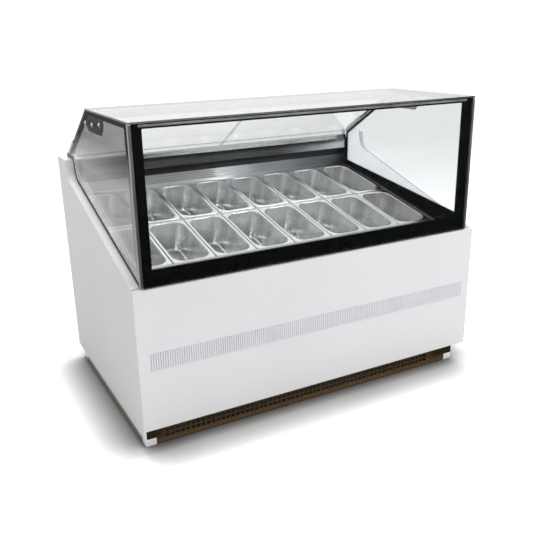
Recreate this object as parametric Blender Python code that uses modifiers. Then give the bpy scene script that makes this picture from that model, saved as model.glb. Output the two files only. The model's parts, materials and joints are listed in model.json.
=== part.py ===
"""Ice cream dipping cabinet for sixteen pans, in metres, +Z up.

The customer side faces -Y. The origin is the centre of the footprint, on the floor.
Sections are drawn in depth and height: depth runs back from the customer face.
"""
import math

import bmesh
import bpy
from mathutils import Matrix, Vector

# Overall size
WIDTH = 1.450
DEPTH = 0.920
HEIGHT = 1.140
FIT = 0.0003            # gap between two pieces that touch
SHEET = 0.0015          # bent stainless sheet

# Cabinet body
PANEL = 0.030           # end panel thickness
FRONT_PANEL = 0.020     # front panel thickness
BODY_BOTTOM = 0.095
SKIRT_BOTTOM = 0.064    # lower edge of the left end panel's outer skin
SKIRT = 0.007           # thickness of that skin
BODY_FRONT_TOP = 0.607  # top of the front panel
BODY_REAR_TOP = 0.918   # top of the raised rear part of the end panels
RAISED_DEPTH = 0.781    # where the raised rear part begins
SLOPE_END_DEPTH = 0.766
SLOPE_END_TOP = 0.841
INNER_X = WIDTH / 2 - PANEL - FIT

# Base
BASE_HALF = 0.706
BASE_FRONT = 0.055
BASE_REAR = 0.900
BASE_CLEAR = 0.004      # height of the frame above the floor
FOOT = 0.040
FOOT_HEIGHT = 0.028

# Glass case
GLASS = 0.006
GLASS_SETBACK = 0.009   # front glass behind the customer face
SIDE_GLASS_IN = 0.686   # inner face of a side glass
TOP_GLASS_REAR = 0.521
SIDE_GLASS_REAR = 0.866
SLANT = 0.600           # fall of the rear glass edge for each unit of depth
CASE_TOP = HEIGHT - GLASS
CORNER_TRIM = 0.0105

# Perforated strip let into the front panel
STRIP_HALF = 0.685
STRIP_SPAN = (0.315, 0.385)
STRIP_DEPTHS = (0.0006, 0.0060)

# Pans, on a plane that falls towards the customer
PAN_COLUMNS = 8
PAN_PITCH = 0.169
PAN_WIDTH = 0.165
PAN_LENGTH = 0.330
PAN_DEPTH = 0.120
PAN_RIM = 0.011
PAN_WALL = 0.0012
PAN_TAPER = 0.032       # how much narrower the floor is than the mouth
PAN_MOUTH_RADIUS = 0.044
PAN_RIM_RADIUS = 0.012
PAN_FLOOR_RADIUS = 0.016
ROW_GAP = 0.014
PLANE_DEPTH = 0.202     # front edge of the front row
PLANE_HEIGHT = 0.610
PLANE_SLOPE = 0.208

# Tub
TUB_WALL_X = 0.674      # inner face of the tub's side walls
TUB_BOTTOM = 0.392
TUB_FLOOR = 0.442
TUB_FRONT_WALL = 0.085
TUB_REAR_WALL = 0.862
TUB_BACK = 0.904
TUB_BACK_TOP = 0.878
TUB_STEP = 0.868        # the rear wall rises here above the pan plane
TUB_SHOULDER = 0.592
UNDER_PLANE = 0.0087    # tub top below the pan plane
AIR_SLOT_SPAN = (0.803, 0.831)
AIR_SLOT_DEEP = 0.017
REAR_SKIN = 0.9065      # rear panel

# Rails and ledges around the pans
RAIL_HALF = 0.6765
RAIL_DROP = 0.0080      # underside of a pan rail below the pan plane
RAIL_SEAT = 0.0016      # seat of a pan rail below the pan plane
SHELF_TOP = 0.604       # front ledge
SHELF_REAR = 0.187
LEDGE_X = (0.6775, 0.6853)
LEDGE_HEIGHT = 0.003    # side ledges above the pan plane

# Rear flaps
HINGE_DEPTH = 0.523
HINGE_HEIGHT = 1.117
ROD_RADIUS = 0.005
HINGE_PLATE = [(0.320, 1.090), (0.350, 1.060), (0.505, 1.060), (0.548, 1.082), (0.552, 1.108),
               (0.530, 1.128), (0.320, 1.128)]      # depth and height of its corners
FLAP_ANGLE = math.radians(-31.5)
FLAP_LENGTH = 0.408
FLAP_THICK = 0.005
FLAP_HALF_GAP = 0.004
FLAP_END_X = 0.680

# Controls, on the operator side
CONTROL_X = 0.540
CONTROL_Z = 0.325
CONTROL_SIZE = (0.240, 0.080)
CONTROL_FACE = 0.9105
SWITCH_SIZE = (0.020, 0.028)
SWITCH_TILT = math.radians(-7)      # off position, half of the full travel
SWITCH_XS = {"power_switch": 0.450, "light_switch": 0.500}
KNOB_X = 0.600
KNOB_RADIUS = 0.016
INLET_X = 0.560
INLET_Z = 0.160
INLET_HALF = (0.026, 0.018)

# Refrigeration
CONDENSER_X = 0.220
CONDENSER_Z = 0.212
CONDENSER_DEPTHS = (0.085, 0.135)
CONDENSER_FAN_RADIUS = 0.090
EVAPORATOR_Z = 0.508
EVAPORATOR_DEPTHS = (0.660, 0.800)
EVAPORATOR_FAN_RADIUS = 0.042
FAN_HUB_LENGTH = 0.020
FAN_BLADES = 5
SHROUD_SHEET = 0.004
COMPRESSOR_X = -0.280
COMPRESSOR_DEPTH = 0.560
COMPRESSOR_RADIUS = 0.082

MATERIALS = {
    # name: (colour, roughness, metallic, alpha)
    "white_paint": ((0.80, 0.80, 0.81), 0.35, 0.0, 1.0),
    "white_plastic": ((0.75, 0.75, 0.75), 0.45, 0.0, 1.0),
    "stainless": ((0.62, 0.62, 0.63), 0.28, 1.0, 1.0),
    "mirror_steel": ((0.55, 0.52, 0.47), 0.10, 1.0, 1.0),
    "aluminium": ((0.70, 0.70, 0.70), 0.35, 1.0, 1.0),
    "black_plastic": ((0.012, 0.012, 0.013), 0.40, 0.0, 1.0),
    "clear_glass": ((0.90, 0.95, 0.95), 0.02, 0.0, 0.2),
    "foam": ((0.75, 0.66, 0.40), 0.85, 0.0, 1.0),
    "compressor_black": ((0.020, 0.020, 0.022), 0.30, 0.2, 1.0),
    "fin_aluminium": ((0.60, 0.61, 0.62), 0.45, 1.0, 1.0),
}

PLANE_ANGLE = math.atan(PLANE_SLOPE)
ALONG_X = (math.pi / 2, 0.0, math.pi / 2)       # stands a depth-height section across the cabinet
SIDES = {"left": -1, "right": 1}

# Depth where the tub top starts to climb
RIM_START = PLANE_DEPTH + (TUB_SHOULDER + UNDER_PLANE - PLANE_HEIGHT) / PLANE_SLOPE


def to_y(depth):
    return depth - DEPTH / 2


def plane_height(depth):
    """Height of the pan plane at a depth."""
    return PLANE_HEIGHT + PLANE_SLOPE * (depth - PLANE_DEPTH)


def slant_height(depth):
    """Height of the slanted rear glass edge at a depth."""
    return CASE_TOP - SLANT * (depth - TOP_GLASS_REAR)


# ---------------------------------------------------------------- scene and materials

def clear_scene():
    for obj in list(bpy.data.objects):
        bpy.data.objects.remove(obj, do_unlink=True)


def new_collection(name):
    collection = bpy.data.collections.new(name)
    bpy.context.scene.collection.children.link(collection)
    return collection


def make_material(name):
    colour, roughness, metallic, alpha = MATERIALS[name]
    material = bpy.data.materials.new(name)
    material.use_nodes = True
    shader = material.node_tree.nodes["Principled BSDF"]
    shader.inputs["Base Color"].default_value = (*colour, 1.0)
    shader.inputs["Roughness"].default_value = roughness
    shader.inputs["Metallic"].default_value = metallic
    shader.inputs["Alpha"].default_value = alpha
    return material


clear_scene()
PARTS = new_collection("ice_cream_dipping_cabinet")
CUTTERS = new_collection("cutters")


# ---------------------------------------------------------------- building helpers

def add_piece(name, mesh, material):
    """A named sub-part with a material of its own."""
    obj = bpy.data.objects.new(name, mesh)
    PARTS.objects.link(obj)
    own = make_material(material)
    own.name = name + "_" + material
    obj.data.materials.clear()
    obj.data.materials.append(own)
    return obj


def add_tool(name, mesh):
    """A hidden solid that another piece is cut by or joined with."""
    obj = bpy.data.objects.new(name, mesh)
    CUTTERS.objects.link(obj)
    obj.hide_render = True
    obj.display_type = "WIRE"
    return obj


def bevel(obj, width, segments=2):
    modifier = obj.modifiers.new("rounded_edges", "BEVEL")
    modifier.width = width
    modifier.segments = segments
    modifier.limit_method = "ANGLE"
    modifier.angle_limit = math.radians(40)


def boolean(obj, tool, operation="DIFFERENCE"):
    modifier = obj.modifiers.new(tool.name, "BOOLEAN")
    modifier.operation = operation
    modifier.solver = "EXACT"
    modifier.object = tool


def shade_round(obj):
    obj.data.shade_smooth()
    obj.data.set_sharp_from_angle(angle=math.radians(35))


def box_mesh(size):
    bm = bmesh.new()
    bmesh.ops.create_cube(bm, size=1.0, matrix=Matrix.Diagonal((*size, 1.0)))
    mesh = bpy.data.meshes.new("box")
    bm.to_mesh(mesh)
    bm.free()
    return mesh


def span_box(x_span, depth_span, z_span):
    """Mesh and centre of a box between two depths."""
    spans = (x_span, (to_y(depth_span[0]), to_y(depth_span[1])), z_span)
    size = [high - low for low, high in spans]
    centre = [(high + low) / 2 for low, high in spans]
    return box_mesh(size), centre


def centred_span(centre, half):
    return centre - half, centre + half


def box(name, x_span, depth_span, z_span, material, rounding=0.0):
    mesh, centre = span_box(x_span, depth_span, z_span)
    obj = add_piece(name, mesh, material)
    obj.location = centre
    if rounding:
        bevel(obj, rounding)
    return obj


def box_tool(name, x_span, depth_span, z_span):
    mesh, centre = span_box(x_span, depth_span, z_span)
    obj = add_tool(name, mesh)
    obj.location = centre
    return obj


def cylinder_mesh(radius, length, sides=24, radius_end=None):
    """A cylinder or cone about Z, from -length/2 to +length/2."""
    bm = bmesh.new()
    end = radius if radius_end is None else radius_end
    bmesh.ops.create_cone(bm, cap_ends=True, segments=sides, radius1=radius, radius2=end, depth=length)
    mesh = bpy.data.meshes.new("cylinder")
    bm.to_mesh(mesh)
    bm.free()
    return mesh


def outline_mesh(outline, thickness):
    """A flat closed outline in XY, extruded along Z by thickness about its plane."""
    curve = bpy.data.curves.new("outline", "CURVE")
    curve.dimensions = "2D"
    curve.fill_mode = "BOTH"
    curve.extrude = thickness / 2
    spline = curve.splines.new("POLY")
    spline.points.add(len(outline) - 1)
    for point, (x, y) in zip(spline.points, outline):
        point.co = (x, y, 0.0, 1.0)
    spline.use_cyclic_u = True
    guide = bpy.data.objects.new("outline_guide", curve)
    CUTTERS.objects.link(guide)
    graph = bpy.context.evaluated_depsgraph_get()
    mesh = bpy.data.meshes.new_from_object(guide.evaluated_get(graph))
    bm = bmesh.new()
    bm.from_mesh(mesh)
    bmesh.ops.remove_doubles(bm, verts=bm.verts, dist=0.00001)
    bmesh.ops.recalc_face_normals(bm, faces=bm.faces)
    bm.to_mesh(mesh)
    bm.free()
    bpy.data.objects.remove(guide)
    return mesh


def place_section(obj, x_low, x_high):
    """Stand a depth-height section across the cabinet between two x positions."""
    obj.location = ((x_low + x_high) / 2, to_y(0.0), 0.0)
    obj.rotation_euler = ALONG_X
    return obj


def section(name, outline, x_low, x_high, material):
    """A depth-height outline extruded across the cabinet."""
    obj = add_piece(name, outline_mesh(outline, x_high - x_low), material)
    return place_section(obj, x_low, x_high)


def section_tool(name, outline, x_low, x_high):
    return place_section(add_tool(name, outline_mesh(outline, x_high - x_low)), x_low, x_high)


def arc(centre, radius, start, end, steps):
    """Points on an arc, angles in degrees."""
    angles = [math.radians(start + (end - start) * i / steps) for i in range(steps + 1)]
    return [(centre[0] + radius * math.cos(a), centre[1] + radius * math.sin(a)) for a in angles]


def turned(outline, angle):
    """An outline turned about its own origin."""
    cos, sin = math.cos(angle), math.sin(angle)
    return [(x * cos - y * sin, x * sin + y * cos) for x, y in outline]


def mirrored(side, inner, outer):
    """x span of a piece on one side, -1 left and +1 right."""
    return tuple(sorted((side * inner, side * outer)))


# ---------------------------------------------------------------- base

def build_base():
    rim = (-BASE_HALF, BASE_HALF)
    frame = box("base_frame", rim, (BASE_FRONT + SHEET + FIT, BASE_REAR), (BASE_CLEAR, BODY_BOTTOM - FIT),
                "mirror_steel")
    inside = BASE_HALF - 2 * SHEET
    hollow = box_tool("frame_hollow", (-inside, inside), (0.0, BASE_REAR - 2 * SHEET),
                      (BASE_CLEAR + 2 * SHEET, BODY_BOTTOM + FOOT))
    boolean(frame, hollow)
    kick = box("kick_grille", rim, (BASE_FRONT, BASE_FRONT + SHEET), (BASE_CLEAR, BODY_BOTTOM - FIT),
               "mirror_steel")
    feet = {"front": (BASE_FRONT, BASE_FRONT + FOOT), "rear": (BASE_REAR - FOOT, BASE_REAR)}
    for end, depths in feet.items():
        for side, sign in SIDES.items():
            x_span = mirrored(sign, BASE_HALF - FOOT, BASE_HALF)
            box(f"foot_{end}_{side}", x_span, depths, (0.0, FOOT_HEIGHT), "white_plastic", 0.0015)
            room = box_tool(f"foot_room_{end}_{side}", (x_span[0] - FIT, x_span[1] + FIT),
                            (depths[0] - FIT, depths[1] + FIT), (-FIT, FOOT_HEIGHT + FIT))
            boolean(frame, room)
            if end == "front":
                boolean(kick, room)


# ---------------------------------------------------------------- casing

def end_panel_outline(side):
    """Depth and height outline. The left panel carries on down past the side of the base."""
    bend_steps = 5
    bend_radius = 0.060
    if side == "left":
        under_front = BODY_BOTTOM - FIT
        bottom = [(FRONT_PANEL + FIT, under_front), (0.0, under_front), (0.0, SKIRT_BOTTOM),
                  (DEPTH, SKIRT_BOTTOM)]
    else:
        bottom = [(FRONT_PANEL + FIT, BODY_BOTTOM), (DEPTH, BODY_BOTTOM)]
    slope = (SLOPE_END_TOP - BODY_FRONT_TOP) / SLOPE_END_DEPTH
    slope_angle = math.degrees(math.atan(slope))
    front_top = (FRONT_PANEL + FIT, BODY_FRONT_TOP + slope * FRONT_PANEL)
    rise = math.atan2(BODY_REAR_TOP - SLOPE_END_TOP, RAISED_DEPTH - SLOPE_END_DEPTH)
    turn = rise - math.radians(slope_angle)
    reach = bend_radius * math.tan(turn / 2)
    start = Vector((SLOPE_END_DEPTH - reach * math.cos(math.radians(slope_angle)),
                    SLOPE_END_TOP - reach * math.sin(math.radians(slope_angle))))
    normal = Vector((-math.sin(math.radians(slope_angle)), math.cos(math.radians(slope_angle))))
    centre = start + normal * bend_radius
    bend = arc(centre, bend_radius, slope_angle - 90, math.degrees(rise) - 90, bend_steps)
    return [*bottom, (DEPTH, BODY_REAR_TOP), (RAISED_DEPTH, BODY_REAR_TOP), *reversed(bend), front_top]


def build_casing():
    for side, sign in SIDES.items():
        x_span = mirrored(sign, WIDTH / 2 - PANEL, WIDTH / 2)
        panel = section(f"end_panel_{side}", end_panel_outline(side), *x_span, "white_paint")
        if side == "left":
            skin = SKIRT - WIDTH / 2
            back = box_tool("skirt_back", (skin, skin + PANEL), (-PANEL, DEPTH + PANEL), (0.0, BODY_BOTTOM))
            boolean(panel, back)
        bevel(panel, 0.0012)
    front = box("front_panel", (-WIDTH / 2, WIDTH / 2), (0.0, FRONT_PANEL), (BODY_BOTTOM, BODY_FRONT_TOP),
                "white_paint")
    window = box_tool("strip_window", (-STRIP_HALF, STRIP_HALF), (-PANEL, PANEL), STRIP_SPAN)
    boolean(front, window)
    box("vent_strip", (-STRIP_HALF + FIT, STRIP_HALF - FIT), STRIP_DEPTHS,
        (STRIP_SPAN[0] + FIT, STRIP_SPAN[1] - FIT), "white_paint")


# ---------------------------------------------------------------- tub and its fittings

def build_tub():
    front = FRONT_PANEL + SHEET
    step_height = plane_height(TUB_STEP) - UNDER_PLANE
    outline = [(front, TUB_BOTTOM), (TUB_BACK, TUB_BOTTOM), (TUB_BACK, TUB_BACK_TOP),
               (TUB_STEP, TUB_BACK_TOP), (TUB_STEP, step_height), (RIM_START, TUB_SHOULDER),
               (front, TUB_SHOULDER)]
    tub = section("insulated_tub", outline, -INNER_X, INNER_X, "foam")
    cavity = box_tool("tub_cavity", (-TUB_WALL_X, TUB_WALL_X), (TUB_FRONT_WALL, TUB_REAR_WALL),
                      (TUB_FLOOR, HEIGHT))
    slot = box_tool("air_slot", (-TUB_WALL_X, TUB_WALL_X), (TUB_STEP - PANEL, TUB_STEP + AIR_SLOT_DEEP),
                    AIR_SLOT_SPAN)
    boolean(tub, cavity)
    boolean(tub, slot)
    build_liner()


def build_liner():
    """Open stainless box inside the tub, its mouth parallel to the pan plane."""
    front = TUB_FRONT_WALL + FIT
    rear = TUB_REAR_WALL - FIT
    floor = TUB_FLOOR + FIT
    outline = [(front, floor), (rear, floor), (rear, plane_height(rear) - UNDER_PLANE),
               (RIM_START, TUB_SHOULDER), (front, TUB_SHOULDER)]
    half = TUB_WALL_X - FIT
    liner = section("liner", outline, -half, half, "stainless")
    wall = 0.0012
    inner = [(front + wall, floor + wall), (rear - wall, floor + wall), (rear - wall, HEIGHT),
             (front + wall, HEIGHT)]
    boolean(liner, section_tool("liner_hollow", inner, wall - half, half - wall))


def build_plane():
    """An empty at the front edge of the pan plane: +Y runs up the slope, +Z out of the plane."""
    plane = bpy.data.objects.new("pan_plane", None)
    PARTS.objects.link(plane)
    plane.location = (0.0, to_y(PLANE_DEPTH), PLANE_HEIGHT)
    plane.rotation_euler = (PLANE_ANGLE, 0.0, 0.0)
    return plane


def rail(name, outline, plane):
    obj = add_piece(name, outline_mesh(outline, 2 * RAIL_HALF), "stainless")
    obj.parent = plane
    obj.rotation_euler = ALONG_X
    return obj


def build_rails(plane):
    lip = 0.014
    under = 0.007
    edge = 0.0015
    proud = 0.0015
    rail("pan_rail_front",
         [(-lip, -RAIL_DROP), (under, -RAIL_DROP), (under, -RAIL_SEAT), (-edge, -RAIL_SEAT), (-edge, proud),
          (-lip, proud)], plane)
    middle = PAN_LENGTH + ROW_GAP / 2
    rim_clearance = 0.0035
    web = ROW_GAP / 2 - rim_clearance
    web_top = 0.0005
    flange = ROW_GAP / 2 + under
    rail("pan_rail_centre",
         [(middle - flange, -RAIL_DROP), (middle + flange, -RAIL_DROP), (middle + flange, -RAIL_SEAT),
          (middle + web, -RAIL_SEAT), (middle + web, web_top), (middle - web, web_top),
          (middle - web, -RAIL_SEAT), (middle - flange, -RAIL_SEAT)], plane)


def build_ledges():
    """Black shelf with air return slots at the front, and a thin strip along each side of the pans."""
    front_start = FRONT_PANEL + 2 * FIT
    low = FIT - UNDER_PLANE
    shelf = [(front_start, TUB_SHOULDER + FIT), (RIM_START, TUB_SHOULDER + FIT),
             (SHELF_REAR, plane_height(SHELF_REAR) + low), (SHELF_REAR, SHELF_TOP), (front_start, SHELF_TOP)]
    ledge = section("front_ledge", shelf, -RAIL_HALF, RAIL_HALF, "black_plastic")
    slots = 4
    pitch = 2 * RAIL_HALF / slots
    bar = 0.020
    slot_depths = (0.150, 0.172)
    for index in range(slots):
        start = -RAIL_HALF + index * pitch + bar
        boolean(ledge, box_tool(f"return_slot_{index + 1}", (start, start + pitch - 2 * bar), slot_depths,
                                (TUB_SHOULDER - PANEL, SHELF_TOP + PANEL)))
    rear = SIDE_GLASS_REAR
    strip_front_top = plane_height(RIM_START) + LEDGE_HEIGHT
    outline = [(front_start, TUB_SHOULDER + FIT), (RIM_START, TUB_SHOULDER + FIT),
               (rear, plane_height(rear) + low), (rear, plane_height(rear) + LEDGE_HEIGHT),
               (RIM_START, strip_front_top), (front_start, strip_front_top)]
    for side, sign in SIDES.items():
        section(f"side_ledge_{side}", outline, *mirrored(sign, *LEDGE_X), "stainless")


def build_rear_fittings():
    """Louvre under the air slot, and the folded deck above it that covers the tub's rear wall."""
    wall = TUB_STEP - 3 * FIT
    lip_gap = 0.002
    seat_start = 0.853
    foot_rear = TUB_REAR_WALL + SHEET
    louvre_top = AIR_SLOT_SPAN[0] - lip_gap / 2
    louvre = [(seat_start, plane_height(seat_start) - RAIL_DROP), (wall, plane_height(wall) - RAIL_DROP),
              (wall, louvre_top), (foot_rear, louvre_top), (foot_rear, plane_height(foot_rear) - RAIL_SEAT),
              (seat_start, plane_height(seat_start) - RAIL_SEAT)]
    section("air_louvre", louvre, -RAIL_HALF, RAIL_HALF, "stainless")

    lip = AIR_SLOT_SPAN[1] + lip_gap
    bend = TUB_BACK_TOP + FIT
    top = 0.897
    lean = 0.005
    deck_rear = REAR_SKIN + 2 * SHEET
    cap_front = TUB_STEP + 2 * SHEET
    fold = [(deck_rear - SHEET, top - SHEET), (deck_rear - SHEET, bend), (deck_rear, bend), (deck_rear, top)]
    profile = [(wall - SHEET, lip), (wall, lip), (wall, bend), (wall + lean, top - SHEET), *fold,
               (wall - SHEET + lean, top), (wall - SHEET, bend)]
    glass_gap = SIDE_GLASS_IN - 3 * FIT
    deck = section("rear_deck", profile, -glass_gap, glass_gap, "stainless")
    cap = [(cap_front, top - SHEET), *fold, (cap_front, top)]
    boolean(deck, section_tool("deck_cap", cap, -INNER_X, INNER_X), "UNION")


# ---------------------------------------------------------------- pans

def clamped(value, limit):
    return min(max(value, -limit), limit)


def mouth_directions(bm, half_width, half_length, radius, height):
    """Place and outward direction of each vertex of a mouth with rounded corners."""
    places = []
    for vert in bm.verts:
        if abs(vert.co.z - height) > FIT:
            continue
        core = Vector((clamped(vert.co.x, half_width - radius), clamped(vert.co.y, half_length - radius)))
        out = Vector((vert.co.x, vert.co.y)) - core
        places.append((vert.co.copy(), out.normalized()))
    return places


def pan_mesh():
    """Tapered open pan with a flat rim: the rim's top face is at z = 0."""
    mouth_x = PAN_WIDTH - 2 * PAN_RIM
    mouth_y = PAN_LENGTH - 2 * PAN_RIM
    top = -PAN_WALL
    bm = bmesh.new()
    size = Matrix.Diagonal((mouth_x, mouth_y, PAN_DEPTH, 1.0))
    bmesh.ops.create_cube(bm, size=1.0, matrix=Matrix.Translation((0.0, 0.0, top - PAN_DEPTH / 2)) @ size)
    upright = [e for e in bm.edges if abs(e.verts[0].co.z - e.verts[1].co.z) > FIT]
    bmesh.ops.bevel(bm, geom=upright, offset=PAN_MOUTH_RADIUS, segments=3, profile=0.5, affect="EDGES")
    for vert in bm.verts:
        if vert.co.z < top - FIT:
            vert.co.x *= (mouth_x - PAN_TAPER) / mouth_x
            vert.co.y *= (mouth_y - PAN_TAPER) / mouth_y
    lid = [f for f in bm.faces if f.normal.z > 0.9]
    bmesh.ops.delete(bm, geom=lid, context="FACES_ONLY")
    floor = [e for e in bm.edges if max(v.co.z for v in e.verts) < top - FIT]
    bmesh.ops.bevel(bm, geom=floor, offset=PAN_FLOOR_RADIUS, segments=1, profile=0.5, affect="EDGES")
    places = mouth_directions(bm, mouth_x / 2, mouth_y / 2, PAN_MOUTH_RADIUS, top)
    mouth = [e for e in bm.edges if e.is_boundary]
    rim = bmesh.ops.extrude_edge_only(bm, edges=mouth)
    core_x = PAN_WIDTH / 2 - PAN_RIM_RADIUS
    core_y = PAN_LENGTH / 2 - PAN_RIM_RADIUS
    for vert in [g for g in rim["geom"] if isinstance(g, bmesh.types.BMVert)]:
        spot, direction = min(places, key=lambda place: (place[0] - vert.co).length)
        vert.co.x = math.copysign(core_x, spot.x) + direction.x * PAN_RIM_RADIUS
        vert.co.y = math.copysign(core_y, spot.y) + direction.y * PAN_RIM_RADIUS
    mesh = bpy.data.meshes.new("pan")
    bm.to_mesh(mesh)
    bm.free()
    return mesh


def build_pans(plane):
    shape = pan_mesh()
    first = -PAN_PITCH * (PAN_COLUMNS - 1) / 2
    for row, row_name in enumerate(("front", "rear")):
        for column in range(PAN_COLUMNS):
            pan = add_piece(f"pan_{row_name}_{column + 1}", shape.copy(), "stainless")
            shade_round(pan)
            pan.parent = plane
            pan.location = (first + column * PAN_PITCH, PAN_LENGTH / 2 + row * (PAN_LENGTH + ROW_GAP), 0.0)
            wall = pan.modifiers.new("wall", "SOLIDIFY")
            wall.thickness = PAN_WALL
            wall.offset = -1.0


# ---------------------------------------------------------------- glass case

def side_glass_outline():
    front = FRONT_PANEL + FIT
    low = FIT - UNDER_PLANE
    rear = SIDE_GLASS_REAR
    return [(front, TUB_SHOULDER + FIT), (RIM_START, TUB_SHOULDER + FIT), (rear, plane_height(rear) + low),
            (rear, slant_height(rear)), (TOP_GLASS_REAR, CASE_TOP - FIT), (front, CASE_TOP - FIT)]


def build_glass():
    stand = BODY_FRONT_TOP + FIT
    top = CASE_TOP - FIT
    trim_lap = 0.002
    edge = 0.0004
    trim_in = SIDE_GLASS_IN - trim_lap
    front_half = trim_in - FIT
    box("front_glass", (-front_half, front_half), (GLASS_SETBACK, GLASS_SETBACK + GLASS), (stand, top),
        "clear_glass", edge)
    top_half = SIDE_GLASS_IN + GLASS + FIT
    box("top_glass", (-top_half, top_half), (GLASS_SETBACK, TOP_GLASS_REAR), (CASE_TOP, HEIGHT),
        "clear_glass", edge)
    for side, sign in SIDES.items():
        x_span = mirrored(sign, SIDE_GLASS_IN, SIDE_GLASS_IN + GLASS)
        section(f"side_glass_{side}", side_glass_outline(), *x_span, "clear_glass")
        box(f"corner_trim_{side}", mirrored(sign, trim_in, trim_in + CORNER_TRIM),
            (GLASS_SETBACK, GLASS_SETBACK + CORNER_TRIM), (stand, top), "aluminium", trim_lap)
        build_clamp(side, sign)
    build_lamp(top)


def build_lamp(top):
    """Lamp bar behind the top edge of the front glass."""
    half = 0.660
    front = GLASS_SETBACK + GLASS + 0.002
    thick = 0.014
    z_span = (top - 0.0215, top - 0.0010)
    box("led_lamp", (-half, half), (front, front + thick), z_span, "aluminium", 0.002)


def build_clamp(side, sign):
    """A folded clip over the lower end of the slanted glass edge."""
    length = 0.130
    lip = 0.004
    leg = 0.010
    leg_sheet = 0.002
    centre_depth = 0.806
    angle = math.atan(SLANT)
    normal = Vector((math.sin(angle), math.cos(angle)))
    centre = Vector((centre_depth, slant_height(centre_depth)))
    middle = centre + normal * (lip - leg) / 2
    glass_x = sign * (SIDE_GLASS_IN + GLASS / 2)
    size = (GLASS + 2 * (leg_sheet + FIT), length, lip + leg)
    clip = add_piece(f"glass_clamp_{side}", box_mesh(size), "aluminium")
    clip.location = (glass_x, to_y(middle.x), middle.y)
    clip.rotation_euler = (-angle, 0.0, 0.0)
    groove = add_tool(f"clamp_groove_{side}", box_mesh((GLASS + 2 * FIT, 2 * length, 2 * leg)))
    deep = centre - normal * (leg - FIT)
    groove.location = (glass_x, to_y(deep.x), deep.y)
    groove.rotation_euler = (-angle, 0.0, 0.0)
    boolean(clip, groove)


# ---------------------------------------------------------------- rear flaps

def hinge_frame(distance, lift=0.0):
    """Depth-height offset from the hinge axis, along and out of the closed flap."""
    along = Vector((math.cos(FLAP_ANGLE), math.sin(FLAP_ANGLE)))
    out = Vector((-math.sin(FLAP_ANGLE), math.cos(FLAP_ANGLE)))
    return along * distance + out * lift


def hinge_strip(start, end, half):
    """Rectangle that lies along the closed flap."""
    corners = ((start, half), (start, -half), (end, -half), (end, half))
    return [hinge_frame(distance, lift) for distance, lift in corners]


def build_hinge_rail():
    """Hinge rod with a plate on each end, flat against the side glass."""
    half = SIDE_GLASS_IN - 0.002
    plate_start = half - 0.0025
    rail_mesh = cylinder_mesh(ROD_RADIUS, 2 * half, 16)
    rod = add_piece("hinge_rail", rail_mesh, "aluminium")
    rod.location = (0.0, to_y(HINGE_DEPTH), HINGE_HEIGHT)
    rod.rotation_euler = (0.0, math.pi / 2, 0.0)
    shade_round(rod)
    for side, sign in SIDES.items():
        x_span = mirrored(sign, plate_start, SIDE_GLASS_IN - FIT)
        boolean(rod, section_tool(f"hinge_plate_{side}", HINGE_PLATE, *x_span), "UNION")


def build_flaps():
    """Two clear flaps, each held by a grip that turns on the hinge rod."""
    start = 0.014
    lip_rise = 0.010
    lip_run = 0.018
    half = FLAP_THICK / 2
    grip_end = 0.034
    grip_half = 0.0055
    ring = 0.009
    for side, sign in SIDES.items():
        x_low, x_high = mirrored(sign, FLAP_HALF_GAP, FLAP_END_X)
        middle = (x_low + x_high) / 2
        length = x_high - x_low
        tip = hinge_frame(FLAP_LENGTH, half)
        heel = hinge_frame(FLAP_LENGTH, -half)
        lip = Vector((lip_run, lip_rise))
        outline = [hinge_frame(start, half), hinge_frame(start, -half), heel, heel + lip, tip + lip, tip]
        flap = add_piece(f"rear_flap_{side}", outline_mesh(outline, length), "clear_glass")
        flap.location = (middle, to_y(HINGE_DEPTH), HINGE_HEIGHT)
        flap.rotation_euler = ALONG_X

        grip = add_piece(f"flap_hinge_{side}", cylinder_mesh(ring, length, 20), "aluminium")
        grip.location = flap.location
        grip.rotation_euler = (0.0, math.pi / 2, 0.0)
        shade_round(grip)
        leaf = hinge_strip(0.0, grip_end, grip_half)
        slot = hinge_strip(start - FIT, 2 * grip_end, half + FIT)
        for name, shape, spread, operation in (("leaf", leaf, length, "UNION"),
                                               ("slot", slot, 2 * length, "DIFFERENCE")):
            tool = add_tool(f"flap_{name}_{side}", outline_mesh(shape, spread))
            tool.location = flap.location
            tool.rotation_euler = ALONG_X
            boolean(grip, tool, operation)
        bore = add_tool(f"flap_bore_{side}", cylinder_mesh(ROD_RADIUS + 0.0004, 2 * length, 16))
        bore.location = flap.location
        bore.rotation_euler = (0.0, math.pi / 2, 0.0)
        boolean(grip, bore)


# ---------------------------------------------------------------- rear panel and controls

def build_rear():
    """Rear sheet with openings for the controls and the inlet, and slots for the condenser's air."""
    skin = box("rear_panel", (-INNER_X, INNER_X), (REAR_SKIN, REAR_SKIN + SHEET),
               (BODY_BOTTOM, TUB_BACK_TOP - FIT), "white_paint")
    through = (REAR_SKIN - PANEL, REAR_SKIN + PANEL)
    control_half = (CONTROL_SIZE[0] / 2, CONTROL_SIZE[1] / 2)
    windows = {"control_window": (CONTROL_X, CONTROL_Z, control_half),
               "inlet_window": (INLET_X, INLET_Z, INLET_HALF)}
    for name, (x, z, half) in windows.items():
        boolean(skin, box_tool(name, centred_span(x, half[0] + FIT), through, centred_span(z, half[1] + FIT)))
    slots = 8
    slot_pitch = 0.022
    slot_height = 0.008
    slot_x = (-0.560, -0.120)
    first = 0.140
    for index in range(slots):
        low = first + index * slot_pitch
        boolean(skin, box_tool(f"rear_slot_{index + 1}", slot_x, through, (low, low + slot_height)))
    build_controls()
    build_inlet()


def rocker_outline(half_height):
    """Switch key about its pivot: two raised ends with a dip between them."""
    back = -0.005
    face = 0.003
    proud = 0.0025
    corner = 0.002
    return [(back, -half_height), (face, -half_height), (face + proud, corner - half_height), (face, 0.0),
            (face + proud, half_height - corner), (face, half_height), (back, half_height)]


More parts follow.
